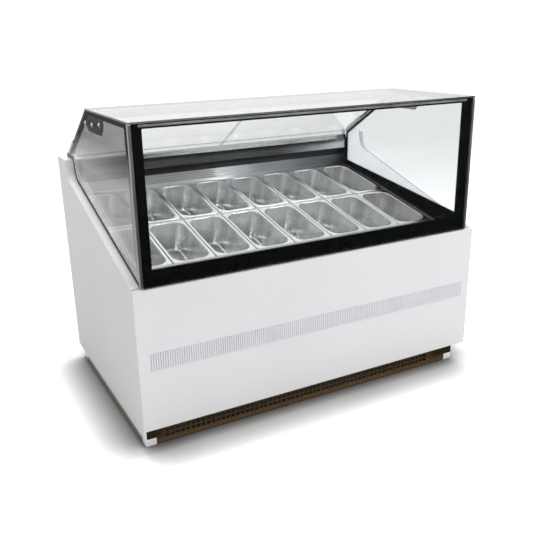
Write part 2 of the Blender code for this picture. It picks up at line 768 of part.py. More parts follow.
def build_controls():
    housing_front = 0.860
    face = box("control_panel", centred_span(CONTROL_X, CONTROL_SIZE[0] / 2), (housing_front, CONTROL_FACE),
               centred_span(CONTROL_Z, CONTROL_SIZE[1] / 2), "black_plastic")
    pocket_deep = 0.012
    clearance = 0.0008
    end_clearance = 0.0014
    pivot_depth = CONTROL_FACE - 0.003
    half_x = SWITCH_SIZE[0] / 2
    half_z = SWITCH_SIZE[1] / 2
    rocker = turned(rocker_outline(half_z - end_clearance), SWITCH_TILT)
    for name, x in SWITCH_XS.items():
        pocket_depths = (CONTROL_FACE - pocket_deep, CONTROL_FACE + PANEL)
        boolean(face, box_tool(f"{name}_pocket", centred_span(x, half_x), pocket_depths,
                               centred_span(CONTROL_Z, half_z)))
        key = add_piece(name, outline_mesh(rocker, 2 * (half_x - clearance)), "black_plastic")
        key.location = (x, to_y(pivot_depth), CONTROL_Z)
        key.rotation_euler = ALONG_X
    build_knob()


def build_knob():
    knob_length = 0.0075
    draft = 0.88
    stand_off = 0.0005
    knob = add_piece("thermostat_knob", cylinder_mesh(KNOB_RADIUS, knob_length, 32, KNOB_RADIUS * draft),
                     "black_plastic")
    knob.location = (KNOB_X, to_y(CONTROL_FACE + stand_off + knob_length / 2), CONTROL_Z)
    knob.rotation_euler = (-math.pi / 2, 0.0, 0.0)
    shade_round(knob)
    bevel(knob, 0.0008, 1)


def build_inlet():
    """Recessed socket for a detachable lead."""
    wall = 0.004
    front = 0.885
    floor = 0.893
    body = box("power_inlet", centred_span(INLET_X, INLET_HALF[0]), (front, REAR_SKIN + 3 * SHEET),
               centred_span(INLET_Z, INLET_HALF[1]), "black_plastic", 0.001)
    boolean(body, box_tool("inlet_well", centred_span(INLET_X, INLET_HALF[0] - wall),
                           (floor, REAR_SKIN + PANEL), centred_span(INLET_Z, INLET_HALF[1] - wall)))


# ---------------------------------------------------------------- refrigeration

def comb_outline(x_low, x_high, y_low, y_high, teeth, spine):
    """A finned block seen along its fins: a spine with teeth on both faces."""
    pitch = (x_high - x_low) / teeth
    middle = (y_low + y_high) / 2
    lower = []
    upper = []
    for index in range(teeth):
        start = x_low + index * pitch
        end = start + pitch / 2
        lower += [(start, y_low), (end, y_low)]
        upper += [(start, y_high), (end, y_high)]
        if index < teeth - 1:
            lower += [(end, middle - spine), (start + pitch, middle - spine)]
            upper += [(end, middle + spine), (start + pitch, middle + spine)]
    return lower + upper[::-1]


def finned_block(name, x_span, depths, z_span, teeth):
    """Upright fins on a core, placed by its depth range."""
    core = 0.012
    outline = comb_outline(*x_span, to_y(depths[0]), to_y(depths[1]), teeth, core)
    block = add_piece(name, outline_mesh(outline, z_span[1] - z_span[0]), "fin_aluminium")
    block.location.z = (z_span[0] + z_span[1]) / 2
    return block


def shroud(block, name, centre, depth, size, radius):
    """Square plate with a round mouth and a motor bar across it, joined to a finned block."""
    boss = 0.022
    arm = 0.004
    margin = 0.002
    mouth_gap = 0.006
    half_x, half_z = size[0] + margin, size[1] + margin
    x, z = centre
    plate = box_tool(f"{name}_plate", centred_span(x, half_x), (depth, depth + SHROUD_SHEET),
                     centred_span(z, half_z))
    mouth = add_tool(f"{name}_mouth", cylinder_mesh(radius + mouth_gap, PANEL, 32))
    hub = add_tool(f"{name}_hub", cylinder_mesh(boss, 2 * PANEL, 20))
    for tool in (mouth, hub):
        tool.location = (x, to_y(depth), z)
        tool.rotation_euler = (math.pi / 2, 0.0, 0.0)
    bar = box_tool(f"{name}_bar", centred_span(x, half_x), centred_span(depth, PANEL), centred_span(z, arm))
    boolean(mouth, bar)
    boolean(mouth, hub)
    boolean(plate, mouth)
    boolean(block, plate, "UNION")


def fan(name, radius, centre, depth):
    """Axial fan about the depth axis: hub and pitched blades in one piece."""
    hub_radius = radius * 0.36
    blade_width = radius * 0.55
    blade_sheet = 0.002
    blade_pitch = math.radians(28)
    wheel = add_piece(name, cylinder_mesh(hub_radius, FAN_HUB_LENGTH, 20), "black_plastic")
    wheel.location = (centre[0], to_y(depth + FAN_HUB_LENGTH / 2), centre[1])
    wheel.rotation_euler = (math.pi / 2, 0.0, 0.0)
    shade_round(wheel)
    reach = radius - hub_radius / 2
    out = Matrix.Translation(((hub_radius + reach) / 2, 0.0, 0.0))
    pitch = Matrix.Rotation(blade_pitch, 4, "X")
    for index in range(FAN_BLADES):
        turn = Matrix.Rotation(2 * math.pi * index / FAN_BLADES, 4, "Z")
        blade = add_tool(f"{name}_blade_{index + 1}", box_mesh((reach, blade_width, blade_sheet)))
        blade.matrix_world = wheel.matrix_basis @ turn @ out @ pitch
        boolean(wheel, blade, "UNION")


def build_refrigeration():
    bite = 0.001
    fan_gap = 0.005
    half = (0.140, 0.105)
    condenser = finned_block("condenser", centred_span(CONDENSER_X, half[0]), CONDENSER_DEPTHS,
                             centred_span(CONDENSER_Z, half[1]), 16)
    centre = (CONDENSER_X, CONDENSER_Z)
    rear = CONDENSER_DEPTHS[1] - bite
    shroud(condenser, "condenser_shroud", centre, rear, half, CONDENSER_FAN_RADIUS)
    fan("condenser_fan", CONDENSER_FAN_RADIUS, centre, rear + SHROUD_SHEET + fan_gap)

    half = (0.420, 0.056)
    evaporator = finned_block("evaporator", centred_span(0.0, half[0]), EVAPORATOR_DEPTHS,
                              centred_span(EVAPORATOR_Z, half[1]), 25)
    centre = (0.0, EVAPORATOR_Z)
    front = EVAPORATOR_DEPTHS[0] - SHROUD_SHEET + bite
    shroud(evaporator, "evaporator_shroud", centre, front, half, EVAPORATOR_FAN_RADIUS)
    fan("evaporator_fan", EVAPORATOR_FAN_RADIUS, centre, front - FAN_HUB_LENGTH - fan_gap)
    build_compressor()


def build_compressor():
    """Turned shell on a flat mounting plate."""
    foot = BASE_CLEAR + 2 * SHEET + FIT
    plate_size = (0.220, 0.170, 0.006)
    shell_height = 0.200
    crown = 0.050
    steps = 5
    profile = [(0.0, shell_height)]
    for index in range(1, steps + 1):
        angle = math.pi / 2 * index / steps
        profile.append((COMPRESSOR_RADIUS * math.sin(angle), shell_height - crown + crown * math.cos(angle)))
    profile += [(COMPRESSOR_RADIUS, plate_size[2] / 2), (0.0, plate_size[2] / 2)]
    mesh = bpy.data.meshes.new("compressor_profile")
    mesh.from_pydata([(x, 0.0, z) for x, z in profile], [(i, i + 1) for i in range(len(profile) - 1)], [])
    shell = add_tool("compressor_shell", mesh)
    screw = shell.modifiers.new("turned", "SCREW")
    screw.steps = 24
    screw.render_steps = 24
    screw.use_merge_vertices = True
    screw.merge_threshold = 0.0001
    screw.use_normal_calculate = True
    shell.location = (COMPRESSOR_X, to_y(COMPRESSOR_DEPTH), foot)
    plate = add_piece("compressor", box_mesh(plate_size), "compressor_black")
    plate.location = shell.location + Vector((0.0, 0.0, plate_size[2] / 2))
    boolean(plate, shell, "UNION")


def build_cabinet():
    plane = build_plane()
    build_base()
    build_casing()
    build_tub()
    build_rails(plane)
    build_ledges()
    build_rear_fittings()
    build_pans(plane)
    build_glass()
    build_hinge_rail()
    build_flaps()
    build_rear()
    build_refrigeration()


build_cabinet()
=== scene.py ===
import json
import math

import bmesh
import bpy
from mathutils import Matrix, Vector


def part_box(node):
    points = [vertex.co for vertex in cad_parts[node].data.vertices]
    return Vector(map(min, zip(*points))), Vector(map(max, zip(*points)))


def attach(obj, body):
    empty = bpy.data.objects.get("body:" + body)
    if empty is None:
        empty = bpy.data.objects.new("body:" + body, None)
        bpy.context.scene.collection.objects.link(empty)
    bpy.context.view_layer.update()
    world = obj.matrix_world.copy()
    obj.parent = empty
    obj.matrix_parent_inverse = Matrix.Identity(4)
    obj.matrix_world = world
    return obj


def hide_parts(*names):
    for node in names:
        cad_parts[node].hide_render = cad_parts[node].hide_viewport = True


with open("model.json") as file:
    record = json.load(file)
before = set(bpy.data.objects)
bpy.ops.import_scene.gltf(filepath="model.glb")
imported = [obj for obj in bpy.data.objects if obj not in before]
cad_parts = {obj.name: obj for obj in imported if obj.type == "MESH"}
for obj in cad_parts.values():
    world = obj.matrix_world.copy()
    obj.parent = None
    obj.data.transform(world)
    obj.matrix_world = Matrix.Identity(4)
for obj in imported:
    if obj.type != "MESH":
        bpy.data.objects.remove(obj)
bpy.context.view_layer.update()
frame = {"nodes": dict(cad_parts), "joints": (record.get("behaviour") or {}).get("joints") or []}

# Ice cream dipping cabinet. The customer side faces -Y, and everything is in metres.
# "Depth" is measured back from the customer face.
FRONT_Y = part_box("front_panel")[0].y
FLOOR_SIZE = 40.0
SKIN = 0.0005               # thickness of the printed borders on upright glass
GAP = 0.0002                # clearance between a piece and what it lies against
SMOOTH = 35                 # degrees, above which an edge stays sharp

# Glass borders
WINDOW_HALF = 0.6487
WINDOW_Z = (0.666, 1.117)
LAMP_SLIT_HALF = 0.6600
LAMP_SLIT_Z = (1.1225, 1.1303)
SIDE_WINDOW_DEPTH = (0.070, 0.852)
SIDE_WINDOW_SILL = (0.666, 0.134)      # height at its front end, rise for each unit of depth
SIDE_WINDOW_TOP = 1.118
SLANT_BORDER = 0.030
SLANT_FALL = 0.600
TOP_GLASS_REAR = 0.521
SHOULDER_DEPTH = 0.158      # where the side glass's lower edge starts to rise
BOLT_SPOTS = ((0.520, 1.089), (0.428, 1.091), (0.333, 1.100))      # depth and height

# Upper edge of an end panel, as depth and height
EDGE_FRONT = (0.0205, 0.6133)
EDGE_RISE = 0.3055          # for each unit of depth
BEND_START = 0.724
BEND_CORNER = (0.766, 0.841)
BEND_END = (0.7735, 0.8800)
BEND_STEPS = 6
EDGE_TOP = 0.918
EDGE_TOP_SPAN = (0.781, 0.880)

# Perforated strip
HOLE_PITCH = (0.0085, 0.0070)
HOLE_HALF = (0.0015, 0.0024)

# Kick plate
KICK_PITCH = 0.020
KICK_HOLE = (0.0150, 0.0120)
KICK_ROWS = (0.0280, 0.0470)
KICK_SPAN = (-0.6240, 0.5740)
KICK_SCREWS = (-0.692, 0.562, 0.651)
KICK_SCREW_HEIGHT = 0.070

# Screws in the front ledge and the rear panel
LEDGE_SCREW = (0.655, 0.075)        # from the middle, and behind the ledge's front edge
REAR_SCREW_INSET = (0.020, 0.018)
REAR_SCREW_COLUMNS = 5

# Pans
PAN_COLUMNS = 8
PAN_RIM = 0.011
PAN_MOUTH_RADIUS = 0.044
PAN_OUTER_RADIUS = 0.012
PAN_TAPER = 0.016
PAN_CORNER_STEPS = 11
PAN_SHEET = 0.0009
# Black bars that paint shade into the gaps between pans
GAP_SHADE_BAR_HALF = 0.0013
GAP_SHADE_BAR_DROP = (0.0052, 0.0014)     # its lower and upper faces, below the rims

# Slot in the tub's rear wall, and the louvre under it
CHANNEL_HALF = 0.6735
CHANNEL_HEIGHT = (0.8032, 0.8308)
CHANNEL_DEPTH = 0.0173
LOUVRE_GROOVES = 5
LOUVRE_PITCH = 0.0085

# Camera
CAMERA_LENS = 46.44
SENSOR_WIDTH = 36.0
CAMERA_PLACE = (-1.3045, -2.4722, 1.3834)
CAMERA_TURN = (-27.9, -18.73, -1.12)        # heading, pitch and roll in degrees


# ---------- scene and mesh helpers

def remove_start_objects():
    for name in ("Cube", "Light", "Camera"):
        if name in bpy.data.objects:
            bpy.data.objects.remove(bpy.data.objects[name], do_unlink=True)


def add_object(name, mesh):
    obj = bpy.data.objects.new(name, mesh)
    bpy.context.scene.collection.objects.link(obj)
    return obj


def add_piece(name, mesh, material, body="cabinet", replaces=()):
    """A piece of the cabinet that rides on one of its bodies."""
    obj = add_object(name, mesh)
    mesh.materials.clear()
    mesh.materials.append(material)
    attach(obj, body)
    if replaces:
        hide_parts(*replaces)
    return obj


def finished(bm, name, smooth_angle=None):
    bmesh.ops.remove_doubles(bm, verts=bm.verts, dist=0.000005)
    bmesh.ops.recalc_face_normals(bm, faces=bm.faces)
    mesh = bpy.data.meshes.new(name)
    bm.to_mesh(mesh)
    bm.free()
    if smooth_angle is not None:
        smooth(mesh, smooth_angle)
    return mesh


def smooth(mesh, degrees=SMOOTH):
    mesh.shade_smooth()
    mesh.set_sharp_from_angle(angle=math.radians(degrees))


def round_edges(obj, width):
    modifier = obj.modifiers.new("rounded_edges", "BEVEL")
    modifier.width = width
    modifier.segments = 2
    modifier.limit_method = "ANGLE"
    modifier.angle_limit = math.radians(SMOOTH)


def flat_mesh(loops, low, high):
    """Closed outlines in the local XY plane, filled between them and extruded from low to high."""
    curve = bpy.data.curves.new("outline", "CURVE")
    curve.dimensions = "2D"
    curve.fill_mode = "BOTH"
    curve.extrude = (high - low) / 2
    for loop in loops:
        spline = curve.splines.new("POLY")
        spline.points.add(len(loop) - 1)
        for point, (x, y) in zip(spline.points, loop):
            point.co = (x, y, 0.0, 1.0)
        spline.use_cyclic_u = True
    guide = add_object("outline", curve)
    graph = bpy.context.evaluated_depsgraph_get()
    mesh = bpy.data.meshes.new_from_object(guide.evaluated_get(graph))
    bpy.data.objects.remove(guide)
    bm = bmesh.new()
    bm.from_mesh(mesh)
    bmesh.ops.remove_doubles(bm, verts=bm.verts, dist=0.00001)
    bmesh.ops.recalc_face_normals(bm, faces=bm.faces)
    bmesh.ops.translate(bm, verts=bm.verts, vec=(0.0, 0.0, (high + low) / 2))
    bm.to_mesh(mesh)
    bm.free()
    return mesh


# Local XY outlines stood up in the cabinet: across it (x, z), or along its depth (y, z).
ACROSS = Matrix(((1, 0, 0, 0), (0, 0, -1, 0), (0, 1, 0, 0), (0, 0, 0, 1)))
ALONG = Matrix(((0, 0, 1, 0), (1, 0, 0, 0), (0, 1, 0, 0), (0, 0, 0, 1)))


def front_mesh(loops, y_low, y_high):
    """Outlines in x and z, between two y positions."""
    mesh = flat_mesh(loops, -y_high, -y_low)
    mesh.transform(ACROSS)
    return mesh


def side_mesh(loops, x_low, x_high):
    """Outlines in y and z, between two x positions."""
    mesh = flat_mesh(loops, x_low, x_high)
    mesh.transform(ALONG)
    return mesh


def rectangle(x_low, x_high, y_low, y_high, radius=0.0, steps=4):
    if not radius:
        return [(x_low, y_low), (x_high, y_low), (x_high, y_high), (x_low, y_high)]
    corners = (((x_high - radius, y_high - radius), 0), ((x_low + radius, y_high - radius), 90),
               ((x_low + radius, y_low + radius), 180), ((x_high - radius, y_low + radius), 270))
    return [(cx + radius * math.cos(math.radians(start + 90 * i / steps)),
             cy + radius * math.sin(math.radians(start + 90 * i / steps)))
            for (cx, cy), start in corners for i in range(steps + 1)]


def rounded_box(name, low, high, radius, segments=3):
    """A box with rounded edges, as a finished mesh."""
    low, high = Vector(low), Vector(high)
    bm = bmesh.new()
    size = high - low
    place = Matrix.Translation((low + high) / 2) @ Matrix.Diagonal((*size, 1.0))
    bmesh.ops.create_cube(bm, size=1.0, matrix=place)
    bmesh.ops.bevel(bm, geom=list(bm.edges), offset=radius, segments=segments, profile=0.5, affect="EDGES")
    return finished(bm, name, 50)


def turned_mesh(name, profile, place, steps=32):
    """Profile of (radius, height) points turned about the local Z axis, then placed."""
    bm = bmesh.new()
    verts = [bm.verts.new((radius, 0.0, height)) for radius, height in profile]
    edges = [bm.edges.new(pair) for pair in zip(verts, verts[1:])]
    bmesh.ops.spin(bm, geom=verts + edges, cent=(0, 0, 0), axis=(0, 0, 1), angle=2 * math.pi, steps=steps)
    mesh = finished(bm, name, 40)
    mesh.transform(place)
    return mesh


# ---------- materials

NOISE_RANGE = (0.3, 0.7)    # values that a noise mostly keeps to
ALONG_X = (0.02, 1.0, 1.0)  # stretch of brush lines that run across the cabinet
ALONG_Z = (1.0, 1.0, 0.03)
UPRIGHT = (1.0, 1.0, 0.15)  # stretch of the wiping marks on upright glass


class Finish:
    """A material on a Principled shader, with short calls for its nodes."""

    def __init__(self, name, colour, roughness, metallic=0.0, **sockets):
        self.material = bpy.data.materials.new(name)
        self.material.use_nodes = True
        self.tree = self.material.node_tree
        self.shader = self.tree.nodes["Principled BSDF"]
        self.shader.inputs["Base Color"].default_value = (*colour, 1.0)
        self.shader.inputs["Roughness"].default_value = roughness
        self.shader.inputs["Metallic"].default_value = metallic
        for socket, value in sockets.items():
            self.shader.inputs[socket.replace("_", " ")].default_value = value

    def node(self, kind, inputs=None, **settings):
        node = self.tree.nodes.new(kind)
        for key, value in settings.items():
            setattr(node, key, value)
        for key, value in (inputs or {}).items():
            if isinstance(value, bpy.types.NodeSocket):
                self.tree.links.new(value, node.inputs[key])
            else:
                node.inputs[key].default_value = value
        return node

    def place(self, stretch=(1.0, 1.0, 1.0)):
        coordinates = self.node("ShaderNodeTexCoord").outputs["Object"]
        return self.node("ShaderNodeMapping", {"Vector": coordinates, "Scale": stretch}).outputs["Vector"]

    def along(self, axis):
        """Position along an axis, in metres."""
        return self.node("ShaderNodeSeparateXYZ", {"Vector": self.place()}).outputs[axis]

    def noise(self, scale, stretch=(1.0, 1.0, 1.0), detail=4.0):
        inputs = {"Vector": self.place(stretch), "Scale": scale, "Detail": detail}
        return self.node("ShaderNodeTexNoise", inputs).outputs["Fac"]

    def calculate(self, operation, *values):
        return self.node("ShaderNodeMath", dict(enumerate(values)), operation=operation).outputs[0]

    def spread(self, value, low, high, to_low=0.0, to_high=1.0):
        node = self.node("ShaderNodeMapRange", {"Value": value, "From Min": low, "From Max": high,
                                                "To Min": to_low, "To Max": to_high})
        return node.outputs["Result"]

    def blend(self, factor, first, second):
        node = self.node("ShaderNodeMix", data_type="RGBA")
        for key, kind, value in (("Factor", "VALUE", factor), ("A", "RGBA", first), ("B", "RGBA", second)):
            socket = next(s for s in node.inputs if s.name == key and s.type == kind)
            if isinstance(value, bpy.types.NodeSocket):
                self.tree.links.new(value, socket)
            else:
                socket.default_value = (*value, 1.0)
        return next(s for s in node.outputs if s.type == "RGBA")

    def tint(self, factor, first, second):
        """Base colour that runs from first to second."""
        self.tree.links.new(self.blend(factor, first, second), self.shader.inputs["Base Color"])

    def mottle(self, noise, dark, light):
        """Base colour that wanders between two colours."""
        self.tint(self.spread(noise, *NOISE_RANGE), dark, light)

    def gloss(self, noise, low, high):
        """Roughness that wanders from low to high."""
        self.tree.links.new(self.spread(noise, *NOISE_RANGE, low, high), self.shader.inputs["Roughness"])

    def bump(self, height, strength, distance):
        node = self.node("ShaderNodeBump", {"Height": height, "Strength": strength, "Distance": distance})
        self.tree.links.new(node.outputs["Normal"], self.shader.inputs["Normal"])


def paint():
    """Satin white paint with faint orange peel, and scuffs near the floor."""
    finish = Finish("white_paint", (0.54, 0.54, 0.55), 0.32)
    cloud = finish.noise(2.2, detail=3.0)
    scuff = finish.noise(26.0, stretch=(1.0, 1.0, 3.0), detail=6.0)
    clean = finish.blend(finish.spread(cloud, 0.35, 0.65), (0.530, 0.526, 0.538), (0.548, 0.543, 0.550))
    low = finish.spread(finish.along("Z"), 0.190, 0.100)
    marks = finish.spread(scuff, 0.56, 0.74, 0.0, 0.5)
    amount = finish.calculate("MULTIPLY", low, marks)
    finish.tint(amount, clean, (0.46, 0.455, 0.44))
    finish.gloss(cloud, 0.28, 0.38)
    finish.bump(finish.noise(420.0, detail=2.0), 0.10, 0.0003)
    return finish.material


def strip_paint():
    """Cool grey paint of the perforated strip."""
    finish = Finish("perforated_strip", (0.68, 0.685, 0.72), 0.38)
    cloud = finish.noise(9.0, detail=4.0)
    finish.mottle(cloud, (0.52, 0.525, 0.565), (0.55, 0.555, 0.585))
    finish.gloss(cloud, 0.30, 0.45)
    finish.bump(finish.noise(500.0, detail=2.0), 0.10, 0.0002)
    return finish.material


def steel(name, dark, light, rough, grain, strength=0.12):
    """Brushed steel. Grain is the stretch of its brush lines, small along them."""
    finish = Finish(name, light, rough[0], metallic=1.0)
    lines = finish.noise(260.0, stretch=grain, detail=5.0)
    cloud = finish.noise(7.0, detail=3.0)
    finish.mottle(lines, dark, light)
    finish.gloss(finish.calculate("MULTIPLY", finish.calculate("ADD", lines, cloud), 0.5), *rough)
    finish.bump(lines, strength, 0.0001)
    return finish.material


def pan_steel():
    """Drawn steel with painted light in its colour: a bright painted highlight on the rolled rim, soft
    vertical bands of painted reflection on the walls, and painted shade towards the floor.
    """
    finish = Finish("pan_steel", (0.80, 0.80, 0.80), 0.24, metallic=1.0)
    height = finish.along("Z")
    # Soft vertical bands on the walls are painted reflections.
    painted_reflection_bands = finish.spread(finish.noise(16.0, stretch=(1.0, 1.0, 0.06), detail=2.0), 0.38, 0.62)
    grain = finish.noise(150.0, stretch=(1.0, 1.0, 0.04), detail=3.0)
    # The wall runs from a painted lit tone high up to a painted shaded tone near the floor.
    high = finish.blend(painted_reflection_bands, (0.80, 0.805, 0.81), (0.98, 0.98, 0.98))
    low = finish.blend(painted_reflection_bands, (0.36, 0.365, 0.37), (0.60, 0.60, 0.60))
    wall = finish.blend(finish.spread(height, -0.119, -0.078), low, high)
    # The rim's pale colour is a painted highlight.
    finish.tint(finish.spread(height, -0.012, -0.002), wall, (0.93, 0.93, 0.93))
    finish.gloss(grain, 0.20, 0.27)
    finish.bump(grain, 0.02, 0.00005)
    return finish.material


def kick_steel():
    """Polished plate whose colour is a painted reflection of a warm room: brown, olive at both ends, and
    paler at its lower edge, where a painted reflection of the floor is added.
    """
    finish = Finish("mirror_steel", (0.25, 0.22, 0.12), 0.2, metallic=0.75)
    cloud = finish.noise(6.0, stretch=(1.0, 1.0, 4.0), detail=4.0)
    # Olive and brown stand for the reflected room, as painted reflection.
    olive = finish.blend(finish.spread(cloud, *NOISE_RANGE), (0.055, 0.056, 0.020), (0.090, 0.084, 0.034))
    x = finish.along("X")
    fade = 0.045
    from_left = finish.spread(x, KICK_SPAN[0] - fade, KICK_SPAN[0])
    from_right = finish.spread(x, KICK_SPAN[1] + fade, KICK_SPAN[1])
    middle = finish.calculate("MULTIPLY", from_left, from_right)
    olive = finish.blend(middle, olive, (0.22, 0.145, 0.068))
    # The paler orange lower edge is a painted reflection of the floor.
    low = finish.spread(finish.along("Z"), 0.034, 0.010)
    finish.tint(low, olive, (0.42, 0.24, 0.12))
    finish.gloss(cloud, 0.14, 0.26)
    finish.bump(finish.noise(300.0, stretch=(0.05, 1.0, 1.0), detail=4.0), 0.05, 0.0001)
    return finish.material


def base_steel():
    """Polished bronze-coloured plinth, its warm colour a painted reflection of a warm room."""
    finish = Finish("base_steel", (0.20, 0.145, 0.095), 0.22, metallic=0.9)
    cloud = finish.noise(2.5, detail=2.0)
    lines = finish.noise(420.0, stretch=(0.02, 0.02, 1.0), detail=2.0)
    # The mottled brown is painted reflection.
    finish.mottle(cloud, (0.190, 0.135, 0.085), (0.220, 0.158, 0.102))
    finish.gloss(cloud, 0.18, 0.26)
    finish.bump(lines, 0.02, 0.00005)
    return finish.material


def plastic(name, dark, light, rough, scale=900.0, strength=0.12):
    """Moulded plastic with a fine grain."""
    finish = Finish(name, light, rough[0])
    grain = finish.noise(scale, detail=2.0)
    cloud = finish.noise(14.0, detail=4.0)
    finish.mottle(cloud, dark, light)
    finish.gloss(cloud, *rough)
    finish.bump(grain, strength, 0.0002)
    return finish.material


def backing():
    """Pale sheet behind the side glass, which glows to stand in for a bright background."""
    finish = Finish("backing", (0.80, 0.81, 0.82), 0.7, Emission_Strength=0.95)
    cloud = finish.noise(9.0)
    pale = finish.blend(finish.spread(cloud, *NOISE_RANGE), (0.78, 0.79, 0.80), (0.82, 0.83, 0.84))
    for socket in ("Base Color", "Emission Color"):
        finish.tree.links.new(pale, finish.shader.inputs[socket])
    finish.gloss(cloud, 0.62, 0.76)
    finish.bump(finish.noise(700.0), 0.05, 0.0001)
    return finish.material


def printed_black():
    """Ceramic print on the glass: near black, with a blue cast."""
    finish = Finish("printed_black", (0.002, 0.0025, 0.003), 0.25, Specular_IOR_Level=0.12)
    cloud = finish.noise(30.0, detail=5.0)
    finish.mottle(cloud, (0.0016, 0.0020, 0.0022), (0.0026, 0.0032, 0.0036))
    finish.gloss(cloud, 0.26, 0.32)
    finish.bump(finish.noise(1500.0, detail=2.0), 0.01, 0.00002)
    return finish.material


def deck_steel():
    """Brushed steel, with a painted dark reflection where the deck rolls over at its top."""
    finish = Finish("deck_steel", (0.54, 0.55, 0.56), 0.24, metallic=1.0)
    lines = finish.noise(260.0, stretch=ALONG_X, detail=5.0)
    brushed = finish.spread(lines, *NOISE_RANGE)
    face = finish.blend(brushed, (0.50, 0.515, 0.53), (0.58, 0.59, 0.60))
    # The roll's dark colour is a painted reflection.
    roll = finish.blend(brushed, (0.10, 0.108, 0.108), (0.15, 0.158, 0.156))
    finish.tint(finish.spread(finish.along("Z"), 0.856, 0.874), face, roll)
    finish.gloss(lines, 0.20, 0.26)
    finish.bump(lines, 0.02, 0.0001)
    return finish.material


def pane(name, axis, tint, edge_colour, streaks, smear_depth=0.008, mirror_least=0.030, upper=1.0,
         mirror_upper=1.0):
    """Clear sheet: straight-through tint, mirror reflection at glancing angles, darker polished edges.

    Upper and mirror_upper paint shade towards the sheet's top: they dim the tint and the reflection there.
    """
    finish = Finish(name, edge_colour, 0.12)
    tree = finish.tree
    facing = finish.node("ShaderNodeLayerWeight", {"Blend": 0.5}).outputs["Facing"]
    mirror = finish.spread(finish.calculate("POWER", facing, 5.0), 0.0, 1.0, mirror_least, 1.0)
    smear = finish.noise(5.0, stretch=streaks, detail=5.0)
    smeared = tuple(c * (1.0 - smear_depth) for c in tint)
    wiped = finish.blend(finish.spread(smear, 0.35, 0.70), tint, smeared)
    # Painted shade: the tint darkens towards the top.
    if upper < 1.0:
        painted_shade_tint = tuple(c * upper for c in tint)
        wiped = finish.blend(finish.spread(finish.along("Z"), 0.80, 1.08), wiped, painted_shade_tint)
    clear = finish.node("ShaderNodeBsdfTransparent", {"Color": wiped})
    polish = finish.spread(smear, *NOISE_RANGE, 0.012, 0.035)
    glossy = finish.node("ShaderNodeBsdfGlossy", {"Color": (1.0, 1.0, 1.0, 1.0), "Roughness": polish})
    # Painted shade on the reflection towards the top.
    if mirror_upper < 1.0:
        painted_dim_reflection = finish.blend(finish.spread(finish.along("Z"), 0.92, 1.04), (1.0, 1.0, 1.0), (mirror_upper,) * 3)
        tree.links.new(painted_dim_reflection, glossy.inputs["Color"])
    body = finish.node("ShaderNodeMixShader", {0: mirror, 1: clear.outputs[0], 2: glossy.outputs[0]})
    normal = finish.node("ShaderNodeTexCoord").outputs["Normal"]
    along = finish.node("ShaderNodeSeparateXYZ", {"Vector": normal}).outputs[axis]
    edge = finish.spread(finish.calculate("MULTIPLY", along, along), 0.75, 0.25, 0.0, 0.85)
    finish.mottle(finish.noise(40.0), edge_colour, tuple(c * 1.6 for c in edge_colour))
    whole = finish.node("ShaderNodeMixShader", {0: edge, 1: body.outputs[0], 2: finish.shader.outputs[0]})
    tree.links.new(whole.outputs[0], tree.nodes["Material Output"].inputs["Surface"])
    return finish.material


def lamp_face():
    """Diffuser of the lamp bar: olive grey, with a row of paler diodes behind it."""
    finish = Finish("lamp_face", (0.20, 0.21, 0.18), 0.30)
    diode_pitch = 0.016
    wave = finish.calculate("MULTIPLY", finish.along("X"), 2 * math.pi / diode_pitch)
    dots = finish.calculate("SINE", wave)
    cloud = finish.noise(9.0, stretch=(1.0, 0.2, 0.2), detail=6.0)
    patch = finish.blend(finish.spread(cloud, 0.35, 0.65), (0.115, 0.130, 0.110), (0.30, 0.31, 0.26))
    finish.tint(finish.spread(dots, 0.2, 1.0, 0.0, 0.25), patch, (0.42, 0.42, 0.36))
    finish.gloss(cloud, 0.22, 0.40)
    finish.bump(finish.noise(600.0), 0.08, 0.0002)
    return finish.material


# Dark and light colour, roughness range, then the grain's scale and strength
PLASTICS = {
    "white_plastic": ((0.74, 0.74, 0.735), (0.82, 0.82, 0.82), (0.38, 0.52)),
    "mark_white": ((0.70, 0.70, 0.70), (0.80, 0.80, 0.80), (0.40, 0.50)),
    "ledge_black": ((0.010, 0.011, 0.012), (0.020, 0.022, 0.024), (0.28, 0.42)),
    "tub_skin": ((0.016, 0.017, 0.018), (0.028, 0.029, 0.031), (0.45, 0.60)),
    "seal_black": ((0.006, 0.006, 0.007), (0.012, 0.013, 0.014), (0.35, 0.50), 700.0),
    "control_black": ((0.014, 0.014, 0.015), (0.024, 0.024, 0.025), (0.40, 0.55)),
    "fan_black": ((0.010, 0.010, 0.011), (0.020, 0.020, 0.021), (0.45, 0.60), 500.0),
    "compressor_black": ((0.012, 0.012, 0.013), (0.022, 0.022, 0.024), (0.18, 0.30), 250.0, 0.2),
    # Near black, for sheets that stand in for shade inside recesses, as painted shade.
    "painted_shade_black": ((0.020, 0.020, 0.022), (0.040, 0.040, 0.044), (0.6, 0.8)),
}

# Dark and light colour, roughness range, stretch of the brush lines, then their strength
STEELS = {
    "stainless": ((0.50, 0.515, 0.53), (0.58, 0.59, 0.60), (0.27, 0.34), ALONG_X, 0.02),
    "aluminium": ((0.62, 0.62, 0.62), (0.74, 0.74, 0.74), (0.24, 0.38), ALONG_Z),
    "bar_aluminium": ((0.60, 0.60, 0.60), (0.72, 0.72, 0.72), (0.22, 0.36), ALONG_X),
    "fin_aluminium": ((0.50, 0.51, 0.52), (0.66, 0.67, 0.68), (0.34, 0.48), ALONG_Z),
    "chrome": ((0.70, 0.70, 0.70), (0.80, 0.80, 0.80), (0.05, 0.10), (1.0, 1.0, 1.0), 0.02),
}


